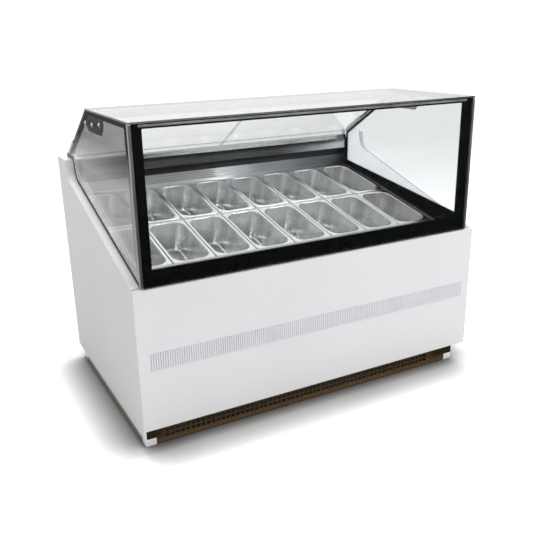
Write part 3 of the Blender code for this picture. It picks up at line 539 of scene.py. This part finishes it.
def make_panes():
    """The glass panes and the clear flaps."""
    edge = (0.020, 0.045, 0.040)
    return {
        "glass_front": pane("glass_front", "Y", (0.972, 0.980, 0.978), edge, UPRIGHT,
                            smear_depth=0.004, mirror_least=0.018),
        # The left glass takes painted shade towards its top.
        "glass_left": pane("glass_left", "X", (0.925, 0.930, 0.928), edge, UPRIGHT,
                           mirror_least=0.17, upper=0.86, mirror_upper=0.12),
        "glass_right": pane("glass_right", "X", (0.880, 0.886, 0.893), edge, UPRIGHT),
        "glass_top": pane("glass_top", "Z", (0.945, 0.938, 0.935), (0.020, 0.030, 0.028), (2.5, 0.03, 1.0),
                          smear_depth=0.045),
        "flap_clear": pane("flap_clear", "Z", (0.985, 0.988, 0.988), (0.30, 0.33, 0.33), (1.0, 0.2, 1.0)),
    }


def make_materials():
    made = {"white_paint": paint(), "perforated_strip": strip_paint(), "mirror_steel": kick_steel(),
            "base_steel": base_steel(), "deck_steel": deck_steel(), "pan_steel": pan_steel(),
            "lamp": lamp_face(), "printed_black": printed_black(), "glowing_backing": backing()}
    made.update(make_panes())
    made.update({name: plastic(name, *values) for name, values in PLASTICS.items()})
    made.update({name: steel(name, *values) for name, values in STEELS.items()})
    return made


# Which finish each CAD node takes. Nodes that a piece stands for are left out.
NODE_FINISH = {
    "white_paint": ("end_panel_left", "end_panel_right", "front_panel", "rear_panel"),
    "base_steel": ("base_frame",),
    "white_plastic": ("foot_front_left", "foot_front_right", "foot_rear_left", "foot_rear_right"),
    "deck_steel": ("rear_deck",),
    "stainless": ("liner", "pan_rail_front", "pan_rail_centre", "side_ledge_left", "side_ledge_right"),
    "ledge_black": ("front_ledge",),
    "tub_skin": ("insulated_tub",),
    "glass_front": ("front_glass",),
    "glass_left": ("side_glass_left",),
    "glass_right": ("side_glass_right",),
    "glass_top": ("top_glass",),
    "flap_clear": ("rear_flap_left", "rear_flap_right"),
    "aluminium": ("corner_trim_left", "corner_trim_right", "glass_clamp_left", "glass_clamp_right"),
    "bar_aluminium": ("flap_hinge_left", "flap_hinge_right", "hinge_rail"),
    "control_black": ("control_panel", "thermostat_knob", "power_switch", "light_switch", "power_inlet"),
    "fan_black": ("condenser_fan", "evaporator_fan"),
    "compressor_black": ("compressor",),
    "fin_aluminium": ("condenser", "evaporator"),
}


def finish_nodes():
    for finish, names in NODE_FINISH.items():
        for name in names:
            mesh = frame["nodes"][name].data
            mesh.materials.clear()
            mesh.materials.append(MATERIALS[finish])


# ---------- glass borders

def slant_height(depth):
    """Height of the sloping rear edge of a side glass."""
    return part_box("top_glass")[0].z - SLANT_FALL * (depth - TOP_GLASS_REAR)


def build_front_border():
    """Printed ring behind the front glass, with a slit for the lamp."""
    low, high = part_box("front_glass")
    outer = rectangle(low.x + GAP, high.x - GAP, low.z + GAP, high.z - GAP)
    window = rectangle(-WINDOW_HALF, WINDOW_HALF, *WINDOW_Z, 0.003)
    slit = rectangle(-LAMP_SLIT_HALF, LAMP_SLIT_HALF, *LAMP_SLIT_Z)
    mesh = front_mesh([outer, window, slit], high.y + GAP, high.y + GAP + SKIN)
    add_piece("front_glass_border", mesh, MATERIALS["printed_black"])


def build_top_border():
    """Printed strips under the edges of the top glass."""
    low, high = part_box("top_glass")
    front_strip = 0.007
    side_strip = 0.008
    rear_strip = 0.002
    outer = rectangle(low.x + GAP, high.x - GAP, low.y + GAP, high.y - GAP)
    inner = rectangle(low.x + side_strip, high.x - side_strip, low.y + front_strip, high.y - rear_strip)
    mesh = flat_mesh([outer, inner], low.z - GAP, low.z - GAP / 4)
    add_piece("top_glass_border", mesh, MATERIALS["printed_black"])


def build_side_borders():
    """Printed ring on the inside of each side glass, and a light aluminium line along its window as a painted
    highlight of the glass edge.
    """
    normal = pan_normal()
    slope = -normal.y / normal.z
    highlight_width = 0.0028
    for side in ("left", "right"):
        low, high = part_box(f"side_glass_{side}")
        ledge_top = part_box(f"side_ledge_{side}")[1]
        front = low.y + GAP
        rear = high.y - GAP
        ledge_rear = ledge_top.z + GAP
        shoulder = SHOULDER_DEPTH + FRONT_Y
        ledge_front = ledge_rear - slope * (rear - shoulder)
        top_rear = TOP_GLASS_REAR + FRONT_Y
        outer = [(front, ledge_front), (shoulder, ledge_front), (rear, ledge_rear),
                 (rear, slant_height(rear - FRONT_Y) - GAP), (top_rear, high.z - GAP), (front, high.z - GAP)]
        window = side_window()
        inner = window_inset(window, highlight_width)
        sign = -1 if side == "left" else 1
        face = min(abs(low.x), abs(high.x)) - GAP
        span = sorted((sign * face, sign * (face - SKIN)))
        add_piece(f"side_glass_border_{side}", side_mesh([outer, window], *span), MATERIALS["printed_black"])
        # The light line is a painted highlight of the glass edge.
        add_piece(f"side_glass_line_{side}", side_mesh([window, inner], *span), MATERIALS["bar_aluminium"])


def side_window():
    """Clear part of a side glass, in y and z."""
    start, end = SIDE_WINDOW_DEPTH
    sill, rise = SIDE_WINDOW_SILL
    corner = TOP_GLASS_REAR + (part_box("top_glass")[0].z - SLANT_BORDER - SIDE_WINDOW_TOP) / SLANT_FALL
    points = [(start, sill), (end, sill + rise * (end - start)), (end, slant_height(end) - SLANT_BORDER),
              (corner, SIDE_WINDOW_TOP), (start, SIDE_WINDOW_TOP)]
    return [(depth + FRONT_Y, height) for depth, height in points]


def window_inset(points, inset):
    """A convex anticlockwise outline moved inwards by inset."""
    lines = []
    for (ax, ay), (bx, by) in zip(points, points[1:] + points[:1]):
        along = Vector((bx - ax, by - ay)).normalized()
        shift = Vector((-along.y, along.x)) * inset
        lines.append((Vector((ax, ay)) + shift, along))
    corners = []
    for (p, d), (q, e) in zip(lines[-1:] + lines[:-1], lines):
        cross = d.x * e.y - d.y * e.x
        reach = ((q.x - p.x) * e.y - (q.y - p.y) * e.x) / cross
        corners.append(tuple(p + d * reach))
    return corners


def panel_edge():
    """Upper edge of an end panel, in depth and height, from its front to the clamp."""
    start = Vector((BEND_START, EDGE_FRONT[1] + EDGE_RISE * (BEND_START - EDGE_FRONT[0])))
    corner = Vector(BEND_CORNER)
    end = Vector(BEND_END)
    shares = [i / BEND_STEPS for i in range(BEND_STEPS + 1)]
    curve = [start.lerp(corner, share).lerp(corner.lerp(end, share), share) for share in shares]
    return [Vector(EDGE_FRONT)] + curve + [Vector((depth, EDGE_TOP)) for depth in EDGE_TOP_SPAN]


def offset_path(path, distance):
    """A path moved to its left by a distance, with mitred corners."""
    moved = []
    for index, point in enumerate(path):
        before = (point - path[index - 1]).normalized() if index else None
        after = (path[index + 1] - point).normalized() if index < len(path) - 1 else None
        first = before or after
        second = after or before
        normals = [Vector((-d.y, d.x)) for d in (first, second)]
        middle = (normals[0] + normals[1]).normalized()
        moved.append(point + middle * distance / max(0.5, middle.dot(normals[0])))
    return moved


def build_seals():
    """Black strip between each side glass and its end panel, and a pale backing sheet on the glass that
    glows, as painted light standing in for the bright background.
    """
    tape = 0.0004
    back_drop = 0.150
    below = 0.006
    above = 0.015
    path = panel_edge()
    outline = offset_path(path, above) + offset_path(path, -below)[::-1]
    outline = [(p.x + FRONT_Y, p.y) for p in outline][::-1]
    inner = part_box("side_glass_right")[1].x + GAP
    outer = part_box("end_panel_right")[0].x - GAP
    for side, sign in (("left", -1), ("right", 1)):
        span = sorted((sign * (inner + tape), sign * outer))
        seal = add_piece(f"side_seal_{side}", side_mesh([outline], *span), MATERIALS["seal_black"])
        round_edges(seal, 0.0005)
        span = sorted((sign * inner, sign * (inner + tape)))
        # The backing sheet glows as painted light, standing in for the bright background.
        low_edge = [(p.x + FRONT_Y, p.y - back_drop) for p in (path[-1], path[0])]
        high_edge = [(p.x + FRONT_Y, p.y) for p in offset_path(path, above)]
        sheet = side_mesh([(high_edge + low_edge)[::-1]], *span)
        add_piece(f"side_seal_tape_{side}", sheet, MATERIALS["glowing_backing"])


def build_bolts():
    """Domed chrome bolts that hold the hinge plates to the side glass."""
    head = [(0.0, 0.0055), (0.0018, 0.0054), (0.0038, 0.0048), (0.0055, 0.0036), (0.0062, 0.0020),
            (0.0062, 0.0014), (0.0082, 0.0012), (0.0086, 0.0007), (0.0086, 0.0), (0.0, 0.0)]
    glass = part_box("side_glass_right")[1].x
    for side, sign in (("left", -1), ("right", 1)):
        for index, (depth, height) in enumerate(BOLT_SPOTS):
            turn = Matrix.Rotation(sign * math.pi / 2, 4, "Y")
            place = Matrix.Translation((sign * (glass + GAP), depth + FRONT_Y, height)) @ turn
            mesh = turned_mesh("bolt", head, place)
            add_piece(f"glass_bolt_{side}_{index + 1}", mesh, MATERIALS["chrome"])


# ---------- perforated sheets

def cell_ring(half_x, half_y):
    """Boundary points of a cell, four on each quarter, that meet those of the next cell."""
    near = math.tan(math.radians(22.5))
    quarter = [(1.0, 0.0), (1.0, near), (1.0, 1.0), (near, 1.0)]
    ring = []
    for turn in range(4):
        for x, y in quarter:
            for _ in range(turn):
                x, y = -y, x
            ring.append((x * half_x, y * half_y))
    return ring


def perforated_mesh(columns, rows, pitch, radii, origin, size):
    """Flat sheet in XY with oval holes in a rectangular grid, inside a plain border."""
    bm = bmesh.new()
    ring = cell_ring(pitch[0] / 2, pitch[1] / 2)
    count = len(ring)
    angles = [2 * math.pi * i / count for i in range(count)]
    oval = [(radii[0] * math.cos(angle), radii[1] * math.sin(angle)) for angle in angles]
    for column in range(columns):
        for row in range(rows):
            cx = origin[0] + column * pitch[0]
            cy = origin[1] + row * pitch[1]
            outer = [bm.verts.new((cx + x, cy + y, 0.0)) for x, y in ring]
            hole = [bm.verts.new((cx + x, cy + y, 0.0)) for x, y in oval]
            for i in range(count):
                j = (i + 1) % count
                bm.faces.new((outer[i], outer[j], hole[j], hole[i]))
    bmesh.ops.remove_doubles(bm, verts=bm.verts, dist=0.00001)
    frame_edges(bm, size)
    return bm


def frame_edges(bm, size):
    """Border from the outer edge of the cells to a rectangle. Size is half its width and height."""
    limits = [(min(v.co[axis] for v in bm.verts), max(v.co[axis] for v in bm.verts)) for axis in (0, 1)]
    tiny = 0.00002

    def side(vert, axis):
        """-1 on the low limit of an axis, 1 on the high one, otherwise 0."""
        low, high = limits[axis]
        return (abs(vert.co[axis] - high) < tiny) - (abs(vert.co[axis] - low) < tiny)

    outer = [e for e in bm.edges if e.is_boundary and all(side(v, 0) or side(v, 1) for v in e.verts)]
    made = bmesh.ops.extrude_edge_only(bm, edges=outer)["geom"]
    for vert in [g for g in made if isinstance(g, bmesh.types.BMVert)]:
        for axis in (0, 1):
            if side(vert, axis):
                vert.co[axis] = side(vert, axis) * size[axis]


def build_strip():
    """Perforated strip let into the front panel, with a dark channel behind it as painted shade."""
    low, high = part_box("vent_strip")
    half = ((high.x - low.x) / 2, (high.z - low.z) / 2)
    columns = int(2 * half[0] / HOLE_PITCH[0])
    rows = int(2 * half[1] / HOLE_PITCH[1])
    sheet = 0.0012
    origin = (-HOLE_PITCH[0] * (columns - 1) / 2, -HOLE_PITCH[1] * (rows - 1) / 2)
    bm = perforated_mesh(columns, rows, HOLE_PITCH, HOLE_HALF, origin, half)
    mesh = finished(bm, "strip")
    mesh.transform(Matrix.Translation(((low.x + high.x) / 2, low.y, (low.z + high.z) / 2)) @ ACROSS)
    strip = add_piece("perforated_strip", mesh, MATERIALS["perforated_strip"],
                      replaces=("vent_strip",))
    thicken(strip, sheet)
    # The near-black channel behind the holes is painted shade.
    channel = front_mesh([rectangle(low.x, high.x, low.z, high.z)], high.y - sheet, high.y)
    add_piece("strip_channel", channel, MATERIALS["painted_shade_black"])


def thicken(obj, thickness):
    """Sheet thickness, behind the face that looks at the customer."""
    front = [p for p in obj.data.polygons if abs(p.normal.y) > 0.9]
    towards_customer = sum(p.normal.y for p in front) < 0
    modifier = obj.modifiers.new("sheet", "SOLIDIFY")
    modifier.thickness = thickness
    modifier.offset = -1.0 if towards_customer else 1.0


def build_kick():
    """Kick plate with two rows of nearly square holes, cut out over the front feet."""
    low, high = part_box("kick_grille")
    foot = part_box("foot_front_left")[1]
    sheet = high.y - low.y
    notch = foot.x + GAP
    step = foot.z + GAP
    outer = [(notch, low.z), (-notch, low.z), (-notch, step), (high.x, step), (high.x, high.z),
             (low.x, high.z), (low.x, step), (notch, step)]
    columns = int((KICK_SPAN[1] - KICK_SPAN[0]) / KICK_PITCH) + 1
    holes = []
    for column in range(columns):
        x = KICK_SPAN[0] + column * KICK_PITCH
        for z in KICK_ROWS:
            holes.append(rectangle(x - KICK_HOLE[0] / 2, x + KICK_HOLE[0] / 2,
                                   z - KICK_HOLE[1] / 2, z + KICK_HOLE[1] / 2, 0.0010, 2))
    mesh = front_mesh([outer] + holes, low.y, high.y)
    add_piece("kick_plate", mesh, MATERIALS["mirror_steel"], replaces=("kick_grille",))
    # A near-black sheet behind the holes is painted shade.
    shade_sheet_y = high.y + 0.016
    shade_sheet_mesh = front_mesh([rectangle(notch, -notch, 0.012, high.z - 0.004)], shade_sheet_y, shade_sheet_y + 0.001)
    add_piece("kick_filter", shade_sheet_mesh, MATERIALS["painted_shade_black"])
    head = screw_head(0.0036)
    for index, x in enumerate(KICK_SCREWS):
        place = Matrix.Translation((x, low.y - GAP, KICK_SCREW_HEIGHT)) @ Matrix.Rotation(math.pi / 2, 4, "X")
        add_piece(f"kick_screw_{index + 1}", turned_mesh("screw", head, place, 20), MATERIALS["chrome"])


def screw_head(radius):
    """Profile of a pan head with a dished centre."""
    rise = radius * 0.55
    return [(0.0, rise * 0.55), (radius * 0.30, rise * 0.60), (radius * 0.36, rise),
            (radius * 0.62, rise * 0.92), (radius * 0.90, rise * 0.55), (radius, rise * 0.1), (radius, 0.0),
            (0.0, 0.0)]


# ---------- pans

def pan_normal():
    """Direction in which a pan lifts, square to the tilted plane of the rims."""
    return Vector(next(j for j in frame["joints"] if j["name"] == "pan_front_1_lift")["axis"])


def pan_turn():
    """Rotation from level to the plane of the rims."""
    normal = pan_normal()
    return Matrix.Rotation(math.atan2(-normal.y, normal.z), 4, "X")


def pan_box(name):
    """Low and high corners of a pan, measured square to the plane of the rims."""
    level = pan_turn().inverted()
    points = [level @ v.co for v in frame["nodes"][name].data.vertices]
    low = Vector([min(p[i] for p in points) for i in range(3)])
    high = Vector([max(p[i] for p in points) for i in range(3)])
    return low, high


def pan_loop(inset, radius, half):
    """Rounded rectangle inside the pan's outer edge."""
    half_x, half_y = half[0] - inset, half[1] - inset
    points = []
    for sign_x, sign_y, start in ((1, 1, 0), (-1, 1, 90), (-1, -1, 180), (1, -1, 270)):
        for step in range(PAN_CORNER_STEPS + 1):
            angle = math.radians(start + 90 * step / PAN_CORNER_STEPS)
            points.append((sign_x * (half_x - radius) + radius * math.cos(angle),
                           sign_y * (half_y - radius) + radius * math.sin(angle)))
    return points


def pan_levels(depth):
    """Loops from the rim's outer edge to the floor: inset, corner radius and height."""
    roll = 0.0035
    fillet = 0.015
    arc_steps = 4
    wall_taper = PAN_TAPER - 0.002
    floor_radius = 0.033
    edge = ((0.0003, -0.0014), (0.0000, -0.0009), (0.0004, -0.0002), (0.0012, 0.0))
    levels = [(inset, PAN_OUTER_RADIUS, height) for inset, height in edge]
    flat_end = PAN_RIM - roll
    mouth_radius = PAN_MOUTH_RADIUS + roll
    levels += [(0.0030, 0.016, 0.0), (flat_end - 0.0010, mouth_radius - 0.001, 0.0)]
    arc = [math.pi / 2 * step / arc_steps for step in range(arc_steps + 1)]
    for angle in arc:
        levels.append((flat_end + roll * math.sin(angle), mouth_radius - roll * math.sin(angle),
                       -roll * (1 - math.cos(angle))))
    for share in (0.08, 0.35, 0.65, 0.92):
        height = roll + (depth - fillet - roll) * share
        levels.append((PAN_RIM + wall_taper * share, PAN_MOUTH_RADIUS - 0.010 * share, -height))
    for step, angle in enumerate(arc):
        levels.append((PAN_RIM + wall_taper + fillet * (1 - math.cos(angle)),
                       floor_radius - 0.012 * step / arc_steps, -depth + fillet * (1 - math.sin(angle))))
    levels.append((PAN_RIM + PAN_TAPER + fillet + 0.004, 0.016, -depth))
    return levels


def pan_mesh(half, depth):
    bm = bmesh.new()
    rings = []
    for inset, radius, height in pan_levels(depth):
        rings.append([bm.verts.new((x, y, height)) for x, y in pan_loop(inset, radius, half)])
    count = len(rings[0])
    for ring, inner in zip(rings, rings[1:]):
        for i in range(count):
            j = (i + 1) % count
            bm.faces.new((ring[i], ring[j], inner[j], inner[i]))
    bm.faces.new(rings[-1])
    mesh = bpy.data.meshes.new("pan")
    bm.to_mesh(mesh)
    bm.free()
    smooth(mesh, 40)
    return mesh


def build_pans():
    """Sixteen drawn steel pans on the tilted plane, which share one mesh."""
    turn = pan_turn()
    low, high = pan_box("pan_front_1")
    shape = pan_mesh(((high.x - low.x) / 2, (high.y - low.y) / 2), high.z - low.z - PAN_SHEET)
    shape.materials.append(MATERIALS["pan_steel"])
    for row in ("front", "rear"):
        for column in range(1, PAN_COLUMNS + 1):
            name = f"pan_{row}_{column}"
            low, high = pan_box(name)
            middle = (low + high) / 2
            obj = add_object(f"steel_{name}", shape)
            obj.matrix_world = turn @ Matrix.Translation((middle.x, middle.y, high.z))
            wall = obj.modifiers.new("sheet", "SOLIDIFY")
            wall.thickness = PAN_SHEET
            wall.offset = -1.0
            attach(obj, name)
            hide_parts(name)


def build_gap_shade_bars():
    """Black bars in the gaps between neighbouring pans, a little under their rims, as painted shade in the
    gaps.
    """
    turn = pan_turn()
    short = 0.002
    for row in ("front", "rear"):
        for first in range(1, PAN_COLUMNS):
            second = first + 1
            low, high = pan_box(f"pan_{row}_{first}")
            x = (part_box(f"pan_{row}_{first}")[1].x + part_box(f"pan_{row}_{second}")[0].x) / 2
            mesh = rounded_box("dark_gap_bar", (x - GAP_SHADE_BAR_HALF, low.y + short, high.z - GAP_SHADE_BAR_DROP[0]),
                               (x + GAP_SHADE_BAR_HALF, high.y - short, high.z - GAP_SHADE_BAR_DROP[1]), 0.0005, 2)
            mesh.transform(turn)
            add_piece(f"pan_divider_{row}_{first}", mesh, MATERIALS["seal_black"])


# ---------- fittings inside the case

def build_louvre():
    """Rear air louvre: a folded foot and a grooved face."""
    low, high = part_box("air_louvre")
    groove = 0.0012
    face = low.y + 0.0125
    top = high.z
    points = [(low.y, low.z), (low.y, low.z + 0.0055), (face - 0.002, low.z + 0.0085), (face, low.z + 0.0105)]
    for index in range(LOUVRE_GROOVES):
        start = top - 0.006 - (LOUVRE_GROOVES - 1 - index) * LOUVRE_PITCH
        points += [(face, start), (face + groove, start + groove * 0.6),
                   (face + groove, start + groove * 1.6), (face, start + groove * 2.2)]
    points += [(face, top - 0.0005), (face + 0.0005, top), (high.y, top), (high.y, low.z)]
    mesh = side_mesh([points], low.x, high.x)
    add_piece("louvre_face", mesh, MATERIALS["stainless"], replaces=("air_louvre",))


def build_air_channel():
    """Dark lining of the slot in the tub's rear wall, as painted shade in the recess."""
    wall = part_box("air_louvre")[1].y
    sheet = 0.0005
    bottom, top = CHANNEL_HEIGHT
    front = wall + GAP
    rear = wall + CHANNEL_DEPTH
    lip = 0.0018
    lip_rear = front + 0.0003
    points = [(front, bottom), (rear, bottom), (rear, top), (lip_rear, top), (lip_rear, top + lip),
              (front, top + lip), (front, top - sheet), (rear - sheet, top - sheet),
              (rear - sheet, bottom + sheet), (front, bottom + sheet)]
    # The near-black lining is painted shade.
    channel = side_mesh([points], -CHANNEL_HALF, CHANNEL_HALF)
    add_piece("air_channel", channel, MATERIALS["painted_shade_black"])


def build_lamp():
    """Lamp bar: aluminium housing with a diffuser that looks out through the slit."""
    low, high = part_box("led_lamp")
    bottom = WINDOW_Z[1] + 0.0008
    housing = rounded_box("lamp_housing", (low.x, low.y + 0.0022, bottom), (high.x, high.y, high.z), 0.0012)
    add_piece("lamp_housing", housing, MATERIALS["bar_aluminium"], replaces=("led_lamp",))
    face = rounded_box("lamp_face", (low.x + 0.002, low.y, bottom + 0.0006),
                       (high.x - 0.002, low.y + 0.0020, high.z - 0.0006), 0.0008)
    add_piece("lamp_diffuser", face, MATERIALS["lamp"])


def build_small_screws():
    """Ledge screws, and a plug in the front panel."""
    low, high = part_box("front_ledge")
    for index, x in enumerate((-LEDGE_SCREW[0], LEDGE_SCREW[0])):
        place = Matrix.Translation((x, low.y + LEDGE_SCREW[1], high.z + GAP))
        mesh = turned_mesh("screw", screw_head(0.0050), place, 20)
        add_piece(f"ledge_screw_{index + 1}", mesh, MATERIALS["chrome"])
    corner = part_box("front_panel")[0]
    plug = [(0.0, 0.0004), (0.0017, 0.0004), (0.0020, 0.0002), (0.0020, -0.0008), (0.0, -0.0008)]
    spot = Matrix.Translation((corner.x + 0.026, corner.y + 0.0004, 0.520))
    mesh = turned_mesh("plug", plug, spot @ Matrix.Rotation(math.pi / 2, 4, "X"), 16)
    add_piece("panel_plug", mesh, MATERIALS["aluminium"])


def build_rear_details():
    """Screws round the rear sheet, the knob's pointer and dial marks."""
    low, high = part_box("rear_panel")
    aside, inset = REAR_SCREW_INSET
    gaps = REAR_SCREW_COLUMNS - 1
    xs = [low.x + aside + (high.x - low.x - 2 * aside) * i / gaps for i in range(REAR_SCREW_COLUMNS)]
    zs = (low.z + inset, high.z - inset)
    index = 0
    for x in xs:
        for z in zs:
            index += 1
            place = Matrix.Translation((x, high.y + GAP, z)) @ Matrix.Rotation(-math.pi / 2, 4, "X")
            mesh = turned_mesh("screw", screw_head(0.0045), place, 20)
            add_piece(f"rear_screw_{index}", mesh, MATERIALS["chrome"])
    knob_low, knob_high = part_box("thermostat_knob")
    centre = (knob_low + knob_high) / 2
    mark = rounded_box("mark", (centre.x - 0.0008, knob_high.y + 0.0001, centre.z + 0.002),
                       (centre.x + 0.0008, knob_high.y + 0.0006, centre.z + 0.0125), 0.0002, 1)
    add_piece("knob_pointer", mark, MATERIALS["mark_white"], body="thermostat_knob")
    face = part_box("control_panel")[1].y
    ticks = 10
    radius = 0.0205
    for tick in range(ticks):
        angle = math.radians(90 - 270 * tick / (ticks - 1))
        turn = Matrix.Rotation(-(angle - math.pi / 2), 4, "Y")
        mesh = rounded_box("tick", (-0.0005, 0.0001, radius), (0.0005, 0.0004, radius + 0.0035), 0.0001, 1)
        mesh.transform(Matrix.Translation((centre.x, face, centre.z)) @ turn)
        add_piece(f"dial_mark_{tick + 1}", mesh, MATERIALS["mark_white"])


# ---------- floor, light and camera

def build_floor():
    finish = Finish("studio_floor", (0.92, 0.92, 0.92), 0.9, Emission_Strength=0.34)
    # The floor glows evenly; an ambient occlusion mask paints a contact shadow into its colour and glow near
    # the cabinet.
    near = finish.node("ShaderNodeAmbientOcclusion", {"Distance": 0.21}, samples=16).outputs["AO"]
    pale = finish.blend(finish.calculate("POWER", near, 2.3), (0.0, 0.0, 0.0), (0.92, 0.92, 0.92))
    for socket in ("Base Color", "Emission Color"):
        finish.tree.links.new(pale, finish.shader.inputs[socket])
    bm = bmesh.new()
    bmesh.ops.create_grid(bm, x_segments=1, y_segments=1, size=FLOOR_SIZE / 2)
    floor = add_object("studio_floor", finished(bm, "floor"))
    floor.data.materials.append(finish.material)
    floor.visible_glossy = False


def build_world():
    """White backdrop, and a room for reflections: pale above and behind, dark low in front."""
    world = bpy.data.worlds.new("studio")
    bpy.context.scene.world = world
    world.use_nodes = True
    tree = world.node_tree
    tree.nodes.clear()

    def node(kind, inputs=None, **settings):
        made = tree.nodes.new(kind)
        for key, value in settings.items():
            setattr(made, key, value)
        for key, value in (inputs or {}).items():
            if isinstance(value, bpy.types.NodeSocket):
                tree.links.new(value, made.inputs[key])
            else:
                made.inputs[key].default_value = value
        return made

    def ramp(value, stops):
        made = node("ShaderNodeValToRGB", {"Fac": value})
        made.color_ramp.interpolation = "EASE"
        while len(made.color_ramp.elements) < len(stops):
            made.color_ramp.elements.new(0.5)
        for element, (place, colour) in zip(made.color_ramp.elements, stops):
            element.position = place
            element.color = (*colour, 1.0)
        return made.outputs["Color"]

    def mix(factor, first, second):
        made = node("ShaderNodeMixRGB", {"Fac": factor, "Color1": first, "Color2": second})
        return made.outputs["Color"]

    direction = node("ShaderNodeTexCoord").outputs["Generated"]
    axes = node("ShaderNodeSeparateXYZ", {"Vector": direction}).outputs
    height = node("ShaderNodeMapRange", {"Value": axes["Z"], "From Min": -1.0, "From Max": 1.0}).outputs[0]
    behind = node("ShaderNodeMapRange", {"Value": axes["Y"], "From Min": -0.5, "From Max": 0.4}).outputs[0]
    left = node("ShaderNodeMapRange", {"Value": axes["X"], "From Min": 0.1, "From Max": -0.7}).outputs[0]
    zenith = (0.98, (0.80, 0.80, 0.81))
    front = ramp(height, [(0.30, (0.03, 0.029, 0.027)), (0.50, (0.06, 0.06, 0.06)),
                          (0.60, (0.72, 0.73, 0.74)), (0.80, (1.0, 1.0, 1.0)), zenith])
    rear = ramp(height, [(0.30, (0.45, 0.45, 0.44)), (0.50, (0.95, 0.95, 0.95)), (0.60, (1.15, 1.14, 1.14)),
                         (0.82, (1.10, 1.10, 1.10)), zenith])
    sides = ramp(height, [(0.30, (0.38, 0.37, 0.35)), (0.50, (0.50, 0.48, 0.46)), (0.70, (0.74, 0.71, 0.67)),
                          (0.84, (0.90, 0.90, 0.90)), zenith])
    room = mix(left, mix(behind, front, rear), sides)
    camera = node("ShaderNodeLightPath").outputs["Is Camera Ray"]
    final = mix(camera, room, (1.0, 1.0, 1.0, 1.0))
    background = node("ShaderNodeBackground", {"Color": final, "Strength": 1.0})
    output = node("ShaderNodeOutputWorld")
    tree.links.new(background.outputs[0], output.inputs["Surface"])


def area_light(name, place, target, size, power, colour=(1.0, 1.0, 1.0)):
    light = bpy.data.lights.new(name, "AREA")
    light.shape = "RECTANGLE"
    light.size, light.size_y = size
    light.energy = power
    light.color = colour
    obj = add_object(name, light)
    obj.location = place
    obj.rotation_euler = (Vector(target) - Vector(place)).to_track_quat("-Z", "Y").to_euler()
    obj.visible_camera = False
    return obj


def build_lights():
    overhead = area_light("overhead", (0.0, 0.3, 3.4), (0.0, 0.0, 0.0), (3.0, 2.2), 146)
    overhead.visible_glossy = False
    area_light("front_right", (2.2, -3.4, 2.6), (0.2, 0.0, 0.6), (2.0, 1.6), 68, (0.98, 0.98, 1.0))


def build_camera():
    camera = bpy.data.cameras.new("camera")
    camera.lens = CAMERA_LENS
    camera.sensor_width = SENSOR_WIDTH
    camera.clip_start = 0.05
    camera.clip_end = 100.0
    obj = add_object("camera", camera)
    heading, pitch, roll = CAMERA_TURN
    turns = ((heading, "Z"), (90.0 + pitch, "X"), (roll, "Z"))
    matrix = Matrix.Translation(CAMERA_PLACE)
    for degrees, axis in turns:
        matrix = matrix @ Matrix.Rotation(math.radians(degrees), 4, axis)
    obj.matrix_world = matrix
    bpy.context.scene.camera = obj


remove_start_objects()
build_camera()
MATERIALS = make_materials()
finish_nodes()
build_front_border()
build_top_border()
build_side_borders()
build_seals()
build_bolts()
build_strip()
build_kick()
build_pans()
build_gap_shade_bars()
build_louvre()
build_air_channel()
build_lamp()
build_small_screws()
build_rear_details()
build_floor()
build_world()
build_lights()
bpy.context.scene.view_settings.view_transform = "Standard"
